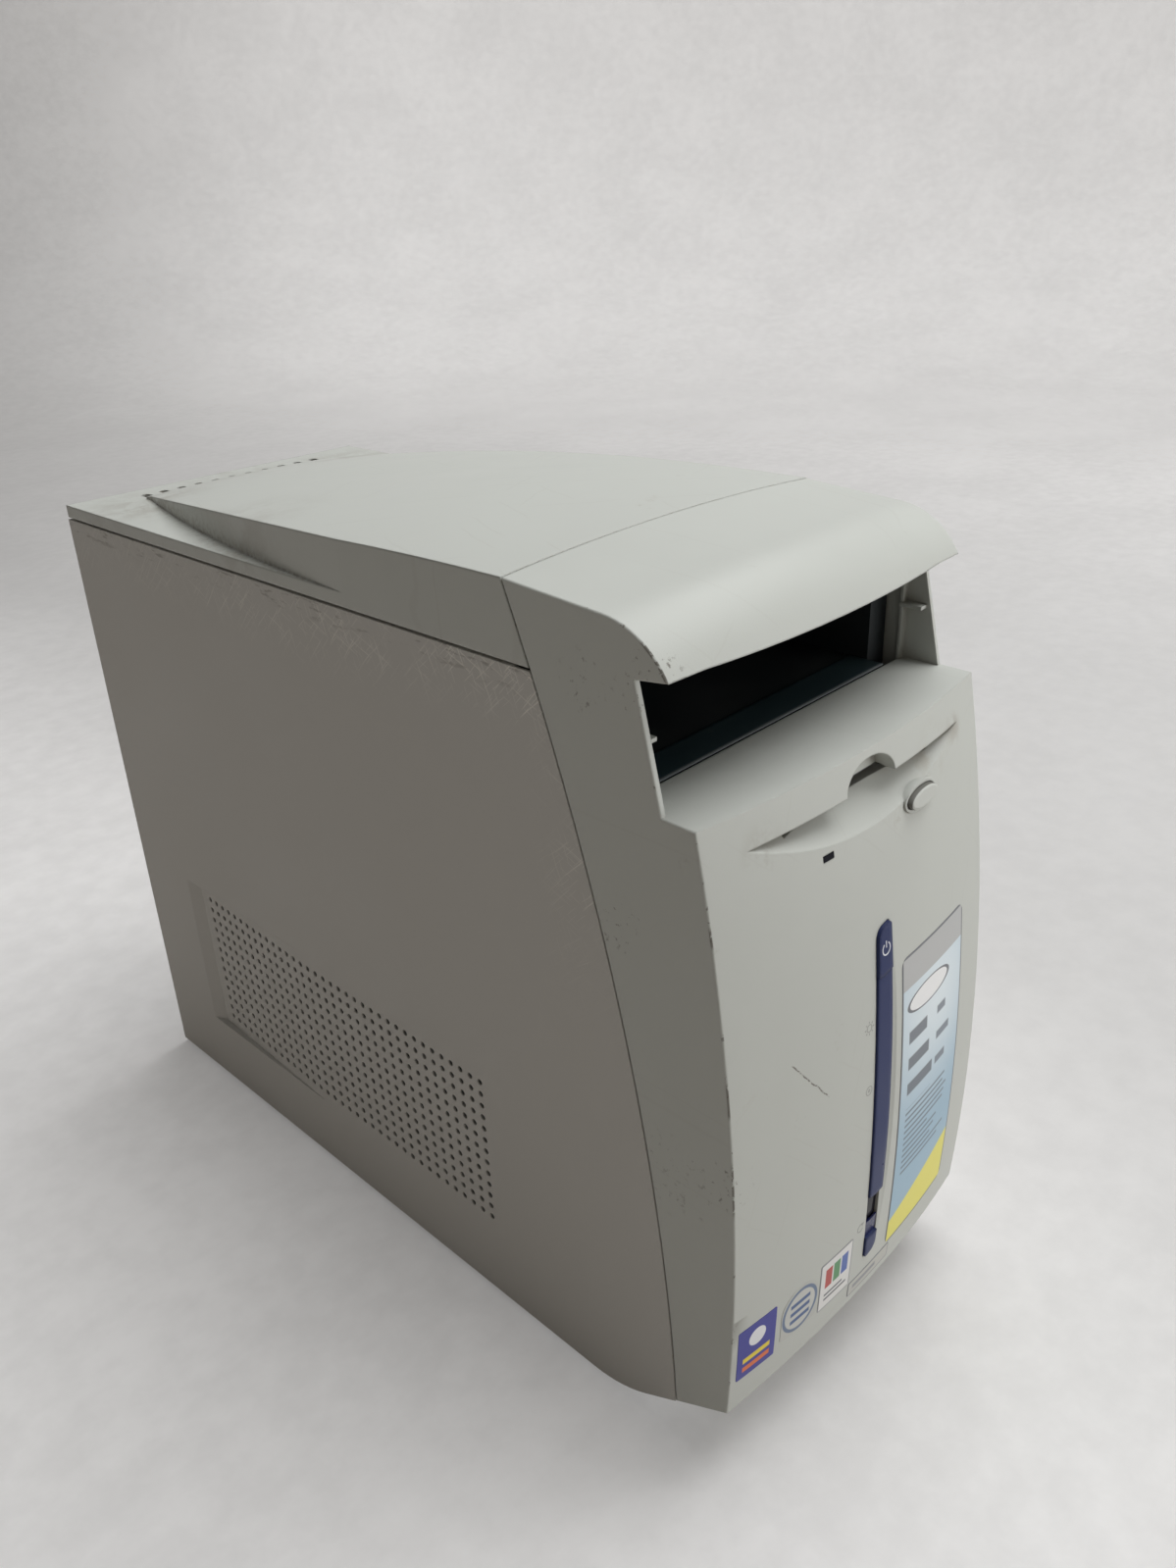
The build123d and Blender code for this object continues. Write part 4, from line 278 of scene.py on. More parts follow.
# Black mouldings: fans, mains inlet, voltage selector, switch bodies, sound sockets, cable plugs and
# plungers. Glass-filled black plastic, pushed or screwed into place.
black, tree, shader, tone = grained("black_moulding", 2200.0, rough=(-0.9, 1.6), relief=0.15)
colour = tint(tree, tone, (0.012, 0.012, 0.013, 1), (0.026, 0.026, 0.028, 1))
colour = soiled(tree, colour, dirt=(0.13, 0.125, 0.115, 1), amount=0.35, patches=45.0)
feed(tree, shader, {"Base Color": colour})
dress(black, "psu_fan_frame", "psu_fan_rotor", "cpu_fan_frame", "cpu_fan_rotor", "mains_inlet",
      "voltage_selector", "front_switches", "audio_jacks", "cable_plugs", "eject_plunger",
      "power_switch_plunger", "reset_switch_plunger")

# Slide of the voltage selector: a small red moulding that runs in the selector's slot, with a groove for
# a screwdriver.
dress(toned("red_slide", 2400.0, (0.36, 0.02, 0.015, 1), (0.50, 0.04, 0.025, 1),
            rough=(-0.6, 1.8), relief=0.10), "voltage_slider")

# Circuit boards: main board, switch board, supply board, memory module and modem card. Green lacquer
# over glass fibre and copper tracks that run along and across the board.
lacquer, tree, shader, tone = grained("board_lacquer", 1200.0, rough=(-0.6, 2.0), relief=0.08)
tracks = place(tree, "TexBrick", {"Vector": local_point(tree), "Scale": 90.0, "Mortar Size": 0.06,
                                  "Color1": (0.012, 0.085, 0.035, 1), "Color2": (0.016, 0.11, 0.045, 1),
                                  "Mortar": (0.05, 0.24, 0.10, 1)})
feed(tree, shader, {"Base Color": tint(tree, tone, tracks.outputs["Color"], (0.01, 0.07, 0.03, 1))})
dress(lacquer, "main_board", "switch_board", "psu_board", "memory_module", "modem_card")

# Sockets on the boards and the keyboard ports: cream heat-proof mouldings, with their pins soldered to
# the board.
dress(toned("cream_socket", 1800.0, (0.58, 0.56, 0.48, 1), (0.72, 0.70, 0.62, 1),
            rough=(-1.0, 1.5), relief=0.12), "board_sockets", "processor_socket", "keyboard_ports")

# Plated pieces: port shells, the shield round them, the coin cell, the fan guard and all screws. Bright
# nickel or zinc plating over pressed or drawn steel.
dress(toned("bright_plating", 1600.0, (0.56, 0.56, 0.55, 1), (0.74, 0.74, 0.73, 1),
            rough=(0.0, 2.6), relief=0.04, metallic=1.0),
      "d_ports", "usb_ports", "coin_cell", "port_shield", "psu_fan_guard", "case_screws",
      "left_panel_screws", "right_panel_screws")

# Standoffs: turned brass posts, screwed into the tray, that carry the main board and keep its solder
# side off the steel.
dress(toned("brass_post", 2000.0, (0.60, 0.42, 0.16, 1), (0.78, 0.58, 0.26, 1),
            rough=(0.0, 2.2), relief=0.04, metallic=1.0), "board_standoffs")

# Cables: flat grey ribbons to the drives and bundled leads from the power supply, in soft vinyl. They
# end in plugs that push on to the boards and drives.
vinyl, tree, shader = new_finish("cable_vinyl")
fine = use_group(tree, grain, Grains=800.0)
cores = place(tree, "TexWave", {"Vector": local_point(tree), "Scale": 125.0, "Distortion": 0.0},
              bands_direction="X").outputs["Fac"]
feed(tree, shader, {"Base Color": tint(tree, cores, (0.22, 0.22, 0.23, 1), (0.36, 0.36, 0.37, 1)),
                    "Roughness": ramp(tree, fine["Tone"], -0.9, 1.6)})
roughen(tree, shader, cores, 0.3, depth=0.0004)
dress(vinyl, "ribbon_cables", "power_leads")

# Front bezel and eject button: putty-grey plastic with a fine spark-eroded grain, moulded in one piece
# and hooked on the front frame. Corners are rubbed and scuffed brown, and dirt sits in the finger scoop.
# Hollows get a brown tint that is partly dirt and partly painted shade, and painted shadow darkens the
# gap round the eject button and the inside of the disk slot.


def measure(tree, operation, first, second=(0, 0, 0)):
    """A value from one or two vectors, such as a distance."""
    return place(tree, "VectorMath", {0: first, 1: second}, operation=operation).outputs["Value"]


def join(tree, x, y, z):
    """A vector from its X, Y and Z."""
    return place(tree, "CombineXYZ", {0: x, 1: y, 2: z}).outputs[0]


def near(tree, point, centre, reach):
    """1 at a place on the piece, falling to 0 at reach from it."""
    return ramp(tree, measure(tree, "DISTANCE", point, centre), reach, 0.0)


def inside(tree, value, low, high, soft=0.0002):
    """1 where a value lies between two limits."""
    above_low = ramp(tree, value, low - soft, low + soft)
    return times(tree, above_low, ramp(tree, value, high + soft, high - soft))


def from_middle(tree, value):
    """How far a value lies from the middle between two whole numbers."""
    return calc(tree, "ABSOLUTE", calc(tree, "SUBTRACT", calc(tree, "FRACT", value), 0.5))


soft_edges, given, end = new_group("soft_edges", [("Radius", "Float", 0.0008)],
                                   [("Normal", "Vector"), ("Edge", "Float")])
rounded = place(soft_edges, "Bevel", {"Radius": given["Radius"]}, samples=4).outputs[0]
agreement = measure(soft_edges, "DOT_PRODUCT", rounded, surface_normal(soft_edges))
feed(soft_edges, end, {"Normal": rounded, "Edge": ramp(soft_edges, agreement, 0.995, 0.86)})

scratches, given, end = new_group("hair_scratches", [
    ("Place", "Vector", (0, 0, 0)), ("Spacing", "Float", 0.004), ("Length", "Float", 0.02),
    ("Share", "Float", 0.3)], [("Mask", "Float")])
scratch_turns = (0.35, -0.75, 1.15, 2.3)
sway_scale, sway_width, lane_shift = 35.0, 0.8, 5.0
layers = []
for turn in scratch_turns:
    sway = noise(scratches, given["Place"], sway_scale, 2.0)
    laid = place(scratches, "VectorRotate", {"Vector": given["Place"], "Angle": turn},
                 rotation_type="Z_AXIS").outputs[0]
    across, along, _ = split(scratches, laid)
    across = calc(scratches, "ADD", calc(scratches, "DIVIDE", across, given["Spacing"]),
                  times(scratches, sway, sway_width))
    lane = calc(scratches, "FLOOR", across)
    shift = place(scratches, "TexWhiteNoise", {"W": lane}, noise_dimensions="1D").outputs["Value"]
    along = calc(scratches, "ADD", calc(scratches, "DIVIDE", along, given["Length"]),
                 times(scratches, shift, lane_shift))
    cell = join(scratches, lane, calc(scratches, "FLOOR", along), turn)
    chance = place(scratches, "TexWhiteNoise", {"Vector": cell}).outputs["Value"]
    layers.append(times(scratches, ramp(scratches, from_middle(scratches, across), 0.075, 0.02),
                        ramp(scratches, from_middle(scratches, along), 0.5, 0.25),
                        calc(scratches, "LESS_THAN", chance, given["Share"])))
mask = layers[0]
for layer in layers[1:]:
    mask = calc(scratches, "MAXIMUM", mask, layer)
feed(scratches, end, {"Mask": mask})

# Darkening in hollows, where nearby surfaces hem a point in: a brown tint that is partly dirt and partly
# painted shade.
hollow_dirt_and_shade, given, end = new_group("hollow_dirt_and_shade", [("Reach", "Float", 0.008)], [("Mask", "Float")])
open_share = place(hollow_dirt_and_shade, "AmbientOcclusion", {"Distance": given["Reach"]}, samples=6).outputs["AO"]
feed(hollow_dirt_and_shade, end, {"Mask": ramp(hollow_dirt_and_shade, open_share, 0.80, 0.25)})


def edged(name, grains, radius, dark, light, rough, relief, depth, specular):
    """A grained finish of two tones with soft edges; gives its colour and a mask of its edges too."""
    material, tree, shader = new_finish(name, specular=specular)
    fine = use_group(tree, grain, Grains=grains)
    rim = use_group(tree, soft_edges, Radius=radius)
    feed(tree, shader, {"Roughness": ramp(tree, fine["Tone"], *rough)})
    roughen(tree, shader, fine["Height"], relief, depth, Normal=rim["Normal"])
    return material, tree, shader, tint(tree, fine["Tone"], dark, light), rim["Edge"]


def putty(name, radius):
    """The putty plastic of the bezel and the cover, a little soiled."""
    material, tree, shader, colour, edge = edged(
        name, 1500.0, radius, (0.514, 0.533, 0.499, 1), (0.562, 0.583, 0.549, 1),
        rough=(-0.9, 2.1), relief=0.22, depth=0.00012, specular=0.26)
    colour = soiled(tree, colour, dirt=(0.36, 0.34, 0.29, 1), amount=0.30, patches=38.0)
    return material, tree, shader, colour, edge


scuff_brown = (0.085, 0.065, 0.050, 1)
scratch_grey = (0.36, 0.34, 0.30, 1)
eject_x, eject_z, eject_wide, eject_high = 0.0319, 0.2722, 0.0106, 0.0039
slot_shade_low, slot_shade_high = 0.2865, 0.2889
scuff_start, scuff_end = Vector((-0.0585, 0.1994, 0.0)), Vector((-0.0370, 0.1727, 0.0))
scuff_sway = 0.0022
# Chipped corners: middle and reach.
chips = (((-0.0895, -0.1830, 0.3550), 0.014), ((-0.0895, -0.2150, 0.1600), 0.016),
         ((-0.0895, -0.2130, 0.2000), 0.010), ((-0.0895, -0.2080, 0.2650), 0.007))
# Stains in the finger scoop: middle, reach, colour and strength.
stains = (((0.046, -0.197, 0.281), 0.022, (0.33, 0.28, 0.20, 1), 0.45),
          ((0.066, -0.203, 0.287), 0.010, (0.22, 0.18, 0.13, 1), 0.45),
          ((-0.062, -0.202, 0.286), 0.014, (0.26, 0.23, 0.18, 1), 0.35))
# Speckled places on the left side: middle, reach and strength.
speckled = (((-0.090, -0.150, 0.342), 0.016, 0.50), ((-0.090, -0.171, 0.343), 0.012, 0.55),
            ((-0.090, -0.182, 0.354), 0.014, 0.70), ((-0.090, -0.166, 0.252), 0.016, 0.55),
            ((-0.090, -0.152, 0.246), 0.012, 0.45), ((-0.090, -0.190, 0.150), 0.030, 0.30),
            ((-0.090, -0.214, 0.160), 0.016, 0.60))

bezel_plastic, tree, shader, colour, edge = putty("bezel_plastic", 0.0009)
point = local_point(tree)
blotch = noise(tree, point, 210.0, 4.0, 0.7)
wide_blotch = noise(tree, point, 60.0, 5.0, 0.7)
x, y, z = split(tree, point)
facing_x, facing_y, facing_z = split(tree, surface_normal(tree))
# The rounds between the left side and the front or the top count as edges too.
turned = times(tree, facing_x, calc(tree, "SUBTRACT", facing_y, facing_z))
edge = calc(tree, "MAXIMUM", edge, ramp(tree, turned, 0.22, 0.40))
left_side = ramp(tree, x, -0.0865, -0.0895)
edge_share = calc(tree, "ADD", times(tree, left_side, 0.55), 0.08)
colour = lay(tree, colour, scuff_brown, edge, ramp(tree, blotch, 0.61, 0.66), edge_share)
chipped = times(tree, edge, ramp(tree, blotch, 0.42, 0.47))
for centre, reach in chips:
    at_chip = ramp(tree, near(tree, point, centre, reach), 0.0, 0.4)
    colour = lay(tree, colour, scuff_brown, chipped, at_chip, 0.70)
cloudy = ramp(tree, wide_blotch, 0.42, 0.60)
for centre, reach, dirt, strength in stains:
    colour = lay(tree, colour, dirt, near(tree, point, centre, reach), cloudy, strength)
speckle = ramp(tree, noise(tree, point, 330.0, 5.0, 0.7), 0.58, 0.66)
for centre, reach, strength in speckled:
    at_spot = ramp(tree, near(tree, point, centre, reach), 0.0, 0.6)
    colour = lay(tree, colour, scuff_brown, at_spot, speckle, strength)
# Brown tint in hollows, partly dirt and partly painted shade.
dirt_and_shade_in_hollows = use_group(tree, hollow_dirt_and_shade, Reach=0.010)["Mask"]
colour = lay(tree, colour, (0.20, 0.175, 0.135, 1), dirt_and_shade_in_hollows, 0.55)
# Painted shadow: a dark ring on the bezel round the eject button, where the gap between them lies in
# shade.
from_eject = join(tree, calc(tree, "DIVIDE", calc(tree, "SUBTRACT", x, eject_x), eject_wide), 0.0,
                  calc(tree, "DIVIDE", calc(tree, "SUBTRACT", z, eject_z), eject_high))
eject_gap_shade = inside(tree, measure(tree, "LENGTH", from_eject), 0.97, 1.06, 0.015)
colour = lay(tree, colour, (0.07, 0.065, 0.055, 1), eject_gap_shade, 0.85)
# Painted shadow: the inside of the disk slot behind its mouth is coloured nearly black, for the shade and
# dust in it.
slot_shade_width = ramp(tree, calc(tree, "ABSOLUTE", x), 0.0485, 0.0478)
slot_shade_band = inside(tree, z, slot_shade_low, slot_shade_high, 0.0003)
slot_shade_depth = ramp(tree, y, -0.2035, -0.2005)
colour = lay(tree, colour, (0.012, 0.012, 0.012, 1), slot_shade_width, slot_shade_band, slot_shade_depth)
on_front = join(tree, x, z, 0.0)
rubbed = use_group(tree, scratches, Place=on_front, Spacing=0.007, Length=0.03, Share=0.06)["Mask"]
colour = lay(tree, colour, scratch_grey, rubbed, 0.07)
scuff_length = (scuff_end - scuff_start).length
scuff_run = (scuff_end - scuff_start).normalized()
scuff_side = Vector((-scuff_run.y, scuff_run.x, 0.0))
from_start = place(tree, "VectorMath", {0: on_front, 1: scuff_start}, operation="SUBTRACT").outputs[0]
along = measure(tree, "DOT_PRODUCT", from_start, scuff_run)
sway = times(tree, calc(tree, "SUBTRACT", noise(tree, on_front, 120.0, 3.0), 0.5), scuff_sway)
off = calc(tree, "ABSOLUTE", calc(tree, "ADD", measure(tree, "DOT_PRODUCT", from_start, scuff_side), sway))
scuff = times(tree, ramp(tree, along, 0.0, 0.002), ramp(tree, along, scuff_length, scuff_length - 0.004),
              ramp(tree, off, 0.00042, 0.00012),
              ramp(tree, noise(tree, on_front, 420.0, 3.0, 0.7), 0.36, 0.52))
feed(tree, shader, {"Base Color": lay(tree, colour, scuff_brown, scuff, 0.8)})
dress(bezel_plastic, "front_bezel", "eject_button")

# Top cover: the same plastic, a domed lid that clips on the top plate. It has fine storage scratches and
# brown dust in the narrow rear end of each side scoop and around the row of slots, and a brown tint in
# its hollows that is partly dust and partly painted shade.
# Dusty places: middle, reach, colour and strength.
dusty = (((-0.064, 0.185, 0.349), 0.045, (0.23, 0.20, 0.16, 1), 0.42),
         ((0.064, 0.185, 0.349), 0.045, (0.23, 0.20, 0.16, 1), 0.42),
         ((-0.080, 0.060, 0.350), 0.050, (0.30, 0.28, 0.24, 1), 0.30),
         ((0.0, 0.206, 0.350), 0.045, (0.30, 0.28, 0.24, 1), 0.35))
cover_plastic, tree, shader, colour, _ = putty("cover_plastic", 0.0016)
point = local_point(tree)
cloudy = ramp(tree, noise(tree, point, 55.0, 5.0, 0.7), 0.40, 0.62)
for centre, reach, dirt, strength in dusty:
    colour = lay(tree, colour, dirt, near(tree, point, centre, reach), cloudy, strength)
# Brown tint in hollows, partly dust and partly painted shade.
dirt_and_shade_in_hollows = use_group(tree, hollow_dirt_and_shade, Reach=0.035)["Mask"]
speckle = ramp(tree, noise(tree, point, 420.0, 5.0, 0.7), 0.44, 0.60)
colour = lay(tree, colour, (0.17, 0.125, 0.075, 1), dirt_and_shade_in_hollows, speckle, 0.75)
rubbed = use_group(tree, scratches, Place=point, Spacing=0.009, Length=0.045, Share=0.07)["Mask"]
feed(tree, shader, {"Base Color": lay(tree, colour, scratch_grey, rubbed, 0.10)})
dress(cover_plastic, "top_cover")

# Side panels: pressed steel sheet with matt putty paint, slid on from the rear and screwed there. The
# paint is scratched along the top edge and beside the front seam.
panel_paint, tree, shader, colour, edge = edged(
    "panel_paint", 1100.0, 0.0007, (0.545, 0.541, 0.513, 1), (0.595, 0.592, 0.563, 1),
    rough=(-1.1, 1.5), relief=0.16, depth=0.00012, specular=0.28)
colour = soiled(tree, colour, dirt=(0.33, 0.31, 0.27, 1), amount=0.22, patches=26.0)
point = local_point(tree)
x, y, z = split(tree, point)
toward_front = calc(tree, "ADD", times(tree, ramp(tree, y, 0.20, -0.10), 0.65), 0.35)
top_band = times(tree, ramp(tree, z, 0.304, 0.330), toward_front)
seam_band = times(tree, ramp(tree, y, -0.115, -0.150), ramp(tree, z, 0.18, 0.30))
worn_zone = calc(tree, "MAXIMUM", top_band, times(tree, seam_band, 0.8))
worn_zone = times(tree, worn_zone, ramp(tree, noise(tree, point, 28.0, 4.0), 0.36, 0.58))
on_panel = join(tree, y, z, 0.0)
for spacing, length, share in ((0.0024, 0.0085, 0.30), (0.0046, 0.0180, 0.18)):
    hairs = use_group(tree, scratches, Place=on_panel, Spacing=spacing, Length=length, Share=share)["Mask"]
    colour = lay(tree, colour, (0.80, 0.79, 0.74, 1), hairs, worn_zone, 0.90)
drawn_out = join(tree, times(tree, y, 0.22), z, x)
smear = ramp(tree, noise(tree, drawn_out, 330.0, 4.0, 0.6), 0.56, 0.66)
colour = lay(tree, colour, (0.15, 0.135, 0.115, 1), smear, ramp(tree, z, 0.3275, 0.3355), 0.45)
edge_patches = ramp(tree, noise(tree, point, 170.0, 4.0, 0.7), 0.52, 0.62)
feed(tree, shader, {"Base Color": lay(tree, colour, (0.12, 0.10, 0.08, 1), edge, edge_patches, 0.5)})
dress(panel_paint, "left_side_panel", "right_side_panel")

# Light strip, power button, reset button, dark window and lamps: indigo plastic with a satin polish,
# snapped in from behind; the window is smoked and the lamps behind it are clear lenses.
indigo, tree, shader, colour, _ = edged(
    "indigo_plastic", 1900.0, 0.0028, (0.020, 0.030, 0.098, 1), (0.030, 0.043, 0.128, 1),
    rough=(-0.5, 2.2), relief=0.08, depth=0.0001, specular=0.14)
colour = soiled(tree, colour, dirt=(0.07, 0.08, 0.15, 1), amount=0.30, patches=70.0)
feed(tree, shader, {"Base Color": colour})
dress(indigo, "light_strip", "power_button")
dress(toned("navy_plastic", 1900.0, (0.010, 0.013, 0.065, 1), (0.018, 0.022, 0.095, 1),
            rough=(-0.5, 2.4), relief=0.08), "reset_button")
dress(toned("smoked_window", 1300.0, (0.004, 0.004, 0.008, 1), (0.010, 0.010, 0.016, 1),
            rough=(0.1, 3.2), relief=0.02, specular=0.10), "indicator_window", "disk_lamp_window")
dress(toned("lamp_lens", 1300.0, (0.10, 0.17, 0.10, 1), (0.15, 0.23, 0.14, 1),
            rough=(0.1, 3.0), relief=0.02), "indicator_lamps")

# Stickers and printed marks: thin printed film on the front and on the power button. They follow the
# curve of the front, which is an upright arc swept about an upright axis. All of them are plain designs.
front_apex_y = -0.2252
front_apex_z = 0.105
front_radius = 0.995
bow_axis_y = front_apex_y + 0.550
film = 0.00015
film_finish = dict(grains=900.0, rough=(-0.6, 1.8), relief=0.03)


def front_y(x, z, proud=0.0):
    """Y of the curved front at a place on it, moved forward by proud."""
    radius = front_radius + proud
    middle = front_apex_y - proud + radius - sqrt(radius**2 - (z - front_apex_z)**2)
    return bow_axis_y - sqrt((bow_axis_y - middle)**2 - x**2)


def round_corners(x0, x1, z0, z1, radii, steps=8):
    """Outline of a rectangle with its own radius at each corner, from the lower left one round."""
    points = []
    corners = ((x0, z0, 1, 1, pi), (x1, z0, -1, 1, 1.5 * pi), (x1, z1, -1, -1, 0.0),
               (x0, z1, 1, -1, 0.5 * pi))
    for (x, z, inward_x, inward_z, start), radius in zip(corners, radii):
        for step in range(steps + 1):
            angle = start + step / steps * pi / 2
            points.append((x + inward_x * radius + radius * cos(angle),
                           z + inward_z * radius + radius * sin(angle)))
    return points


def arc_band(x, z, outer, inner, start, end, steps=28):
    """Outline of a bent bar round a centre, between two angles in degrees."""
    angles = [radians(start + (end - start) * step / steps) for step in range(steps + 1)]
    points = [(x + outer * cos(a), z + outer * sin(a)) for a in angles]
    return points + [(x + inner * cos(a), z + inner * sin(a)) for a in reversed(angles)]


def ring(x, z, outer, inner):
    """Outlines of the two halves of a ring, a hair apart."""
    return [arc_band(x, z, outer, inner, start, start + 178) for start in (0, 180)]


def front_film(name, outlines, material, body, proud=film, rise=0.0, grid=0.006):
    """A thin closed film on the front from outlines in X and Z, cut into a grid so that it can bend."""
    form = bmesh.new()
    for outline in outlines:
        form.faces.new([form.verts.new((x, 0.0, z)) for x, z in outline])
    for axis in (0, 2):
        low = min(v.co[axis] for v in form.verts)
        high = max(v.co[axis] for v in form.verts)
        steps = int((high - low) / grid)
        for step in range(1, steps + 1):
            at = Vector((0, 0, 0))
            at[axis] = low + (high - low) * step / (steps + 1)
            across = Vector((0, 0, 0))
            across[axis] = 1.0
            bmesh.ops.bisect_plane(form, geom=form.verts[:] + form.edges[:] + form.faces[:], dist=1e-7,
                                   plane_co=at, plane_no=across)
    bmesh.ops.recalc_face_normals(form, faces=form.faces[:])
    raised = bmesh.ops.extrude_face_region(form, geom=form.faces[:], use_keep_orig=True)
    upper = {v for v in raised["geom"] if isinstance(v, bmesh.types.BMVert)}
    for vert in form.verts:
        lift = rise + (proud if vert in upper else -proud)
        vert.co.y = front_y(vert.co.x, vert.co.z, lift)
    piece = add_mesh(name, form, material)
    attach(piece, body)


def printed(name):
    """A film to print on: material, tree, shader, tone and the place on it in X and Z."""
    material, tree, shader, tone = grained(name, **film_finish)
    x, _, z = split(tree, local_point(tree))
    return material, tree, shader, tone, x, z


def boxed(tree, x, z, x0, x1, z0, z1):
    """1 inside a rectangle on the front."""
    return times(tree, inside(tree, x, x0, x1), inside(tree, z, z0, z1))


def rimmed(tree, x, z, box, margin, rim, colour):
    """A colour with a rim of another one along the edges of a rectangle."""
    x0, x1, z0, z1 = box
    within = boxed(tree, x, z, x0 + margin, x1 - margin, z0 + margin, z1 - margin)
    return tint(tree, within, rim, colour)


sheet_box = (0.0130, 0.0680, 0.0570, 0.2085)
sheet_left = sheet_box[0]
sheet_head_z = 0.1930
oval_x, oval_z, oval_flat, oval_reach = 0.0360, 0.1835, 3.2, 0.0210
band_slope, band_z = 0.33, 0.0660
# Rows of bars: indent, pitch, lowest and highest Z, filled share, shortest bar, spread of length, ink.
bar_rows = ((0.0060, 0.0132, 0.1350, 0.1746, 0.46, 0.011, 0.014, (0.045, 0.055, 0.080, 1)),
            (0.0310, 0.0132, 0.1350, 0.1746, 0.30, 0.008, 0.012, (0.090, 0.110, 0.150, 1)),
            (0.0060, 0.0033, 0.0935, 0.1310, 0.40, 0.022, 0.024, (0.110, 0.145, 0.190, 1)))
data_film, tree, shader, tone, x, z = printed("data_film")
bright = near(tree, join(tree, x, 0.0, z), (0.042, 0.0, 0.178), 0.075)
colour = tint(tree, bright, (0.30, 0.47, 0.60, 1), (0.74, 0.83, 0.88, 1))
for indent, pitch, low, high, fill, shortest, spread, ink in bar_rows:
    start = sheet_left + indent
    row = calc(tree, "DIVIDE", calc(tree, "SUBTRACT", z, low), pitch)
    chance = place(tree, "TexWhiteNoise", {"W": calc(tree, "ADD", calc(tree, "FLOOR", row), fill)},
                   noise_dimensions="1D").outputs["Value"]
    reach = calc(tree, "ADD", start + shortest, times(tree, chance, spread))
    bar = times(tree, inside(tree, calc(tree, "FRACT", row), 0.5 - fill / 2, 0.5 + fill / 2, 0.04),
                ramp(tree, x, start, start + 0.0004),
                ramp(tree, calc(tree, "SUBTRACT", x, reach), 0.0002, -0.0002), inside(tree, z, low, high))
    colour = lay(tree, colour, ink, bar, 0.85)
flattened = join(tree, x, 0.0, times(tree, z, oval_flat))
oval = near(tree, flattened, (oval_x, 0.0, oval_z * oval_flat), oval_reach)
colour = tint(tree, ramp(tree, oval, 0.02, 0.04), colour, (0.10, 0.11, 0.13, 1))
colour = tint(tree, ramp(tree, oval, 0.10, 0.12), colour, (0.86, 0.87, 0.88, 1))
head = ramp(tree, z, sheet_head_z - 0.0002, sheet_head_z + 0.0002)
colour = tint(tree, head, colour, (0.44, 0.45, 0.45, 1))
slope = calc(tree, "SUBTRACT", z, times(tree, x, band_slope))
colour = tint(tree, ramp(tree, slope, band_z + 0.0003, band_z - 0.0003), colour, (0.80, 0.74, 0.10, 1))
colour = rimmed(tree, x, z, sheet_box, 0.0009, (0.09, 0.10, 0.12, 1), colour)
feed(tree, shader, {"Base Color": lay(tree, colour, (0.80, 0.80, 0.78, 1), tone, 0.16)})
front_film("data_sheet_sticker", [round_corners(*sheet_box, (0.004,) * 4)], data_film, "chassis")

square_film, tree, shader, tone, x, z = printed("square_film")
colour = tint(tree, tone, (0.028, 0.029, 0.25, 1), (0.038, 0.040, 0.31, 1))
for low, ink in ((0.0640, (0.80, 0.62, 0.04, 1)), (0.0590, (0.72, 0.16, 0.04, 1))):
    colour = tint(tree, boxed(tree, x, z, -0.0835, -0.0685, low, low + 0.0028), colour, ink)
disc = near(tree, join(tree, x, 0.0, z), (-0.076, 0.0, 0.0755), 0.0060)
feed(tree, shader, {"Base Color": tint(tree, ramp(tree, disc, 0.10, 0.16), colour, (0.78, 0.79, 0.82, 1))})
square_box = (-0.0866, -0.0654, 0.0556, 0.0840)
front_film("square_sticker", [round_corners(*square_box, (0.0008,) * 4)], square_film, "chassis")

arch_film, tree, shader, tone, x, z = printed("arch_film")
badge_x, badge_z, badge_half, badge_rise = -0.0506, 0.0708, 0.0114, 0.0124
colour = tint(tree, tone, (0.52, 0.53, 0.50, 1), (0.60, 0.61, 0.58, 1))
for low in (0.0648, 0.0694, 0.0740):
    line = boxed(tree, x, z, -0.0565, -0.0445, low, low + 0.0022)
    colour = tint(tree, line, colour, (0.06, 0.11, 0.26, 1))
from_badge = join(tree, calc(tree, "DIVIDE", calc(tree, "SUBTRACT", x, badge_x), badge_half), 0.0,
                  calc(tree, "DIVIDE", calc(tree, "SUBTRACT", z, badge_z), badge_rise))
badge_rim = measure(tree, "LENGTH", from_badge)
colour = tint(tree, ramp(tree, badge_rim, 0.80, 0.84), colour, (0.13, 0.18, 0.28, 1))
colour = tint(tree, ramp(tree, badge_rim, 0.94, 0.98), colour, (0.50, 0.51, 0.48, 1))
feed(tree, shader, {"Base Color": colour})
arch_box = (-0.0620, -0.0392, 0.0585, 0.0834)
front_film("arch_sticker", [round_corners(*arch_box, (0.002, 0.002, 0.010, 0.010))], arch_film, "chassis")

white_film, tree, shader, tone, x, z = printed("white_film")
white_box = (-0.0380, -0.0160, 0.0569, 0.0846)
bar_left, bar_wide = -0.0345, 0.0045
colour = tint(tree, tone, (0.70, 0.70, 0.69, 1), (0.80, 0.80, 0.79, 1))
for end_x, low in ((-0.0190, 0.0615), (-0.0220, 0.0642)):
    line = boxed(tree, x, z, bar_left, end_x, low, low + 0.0013)
    colour = tint(tree, line, colour, (0.16, 0.17, 0.18, 1))
for start, ink in ((bar_left, (0.45, 0.07, 0.06, 1)), (-0.0290, (0.10, 0.28, 0.12, 1)),
                   (-0.0235, (0.08, 0.14, 0.42, 1))):
    colour = tint(tree, boxed(tree, x, z, start, start + bar_wide, 0.0690, 0.0800), colour, ink)
feed(tree, shader, {"Base Color": rimmed(tree, x, z, white_box, 0.0006, (0.30, 0.31, 0.33, 1), colour)})
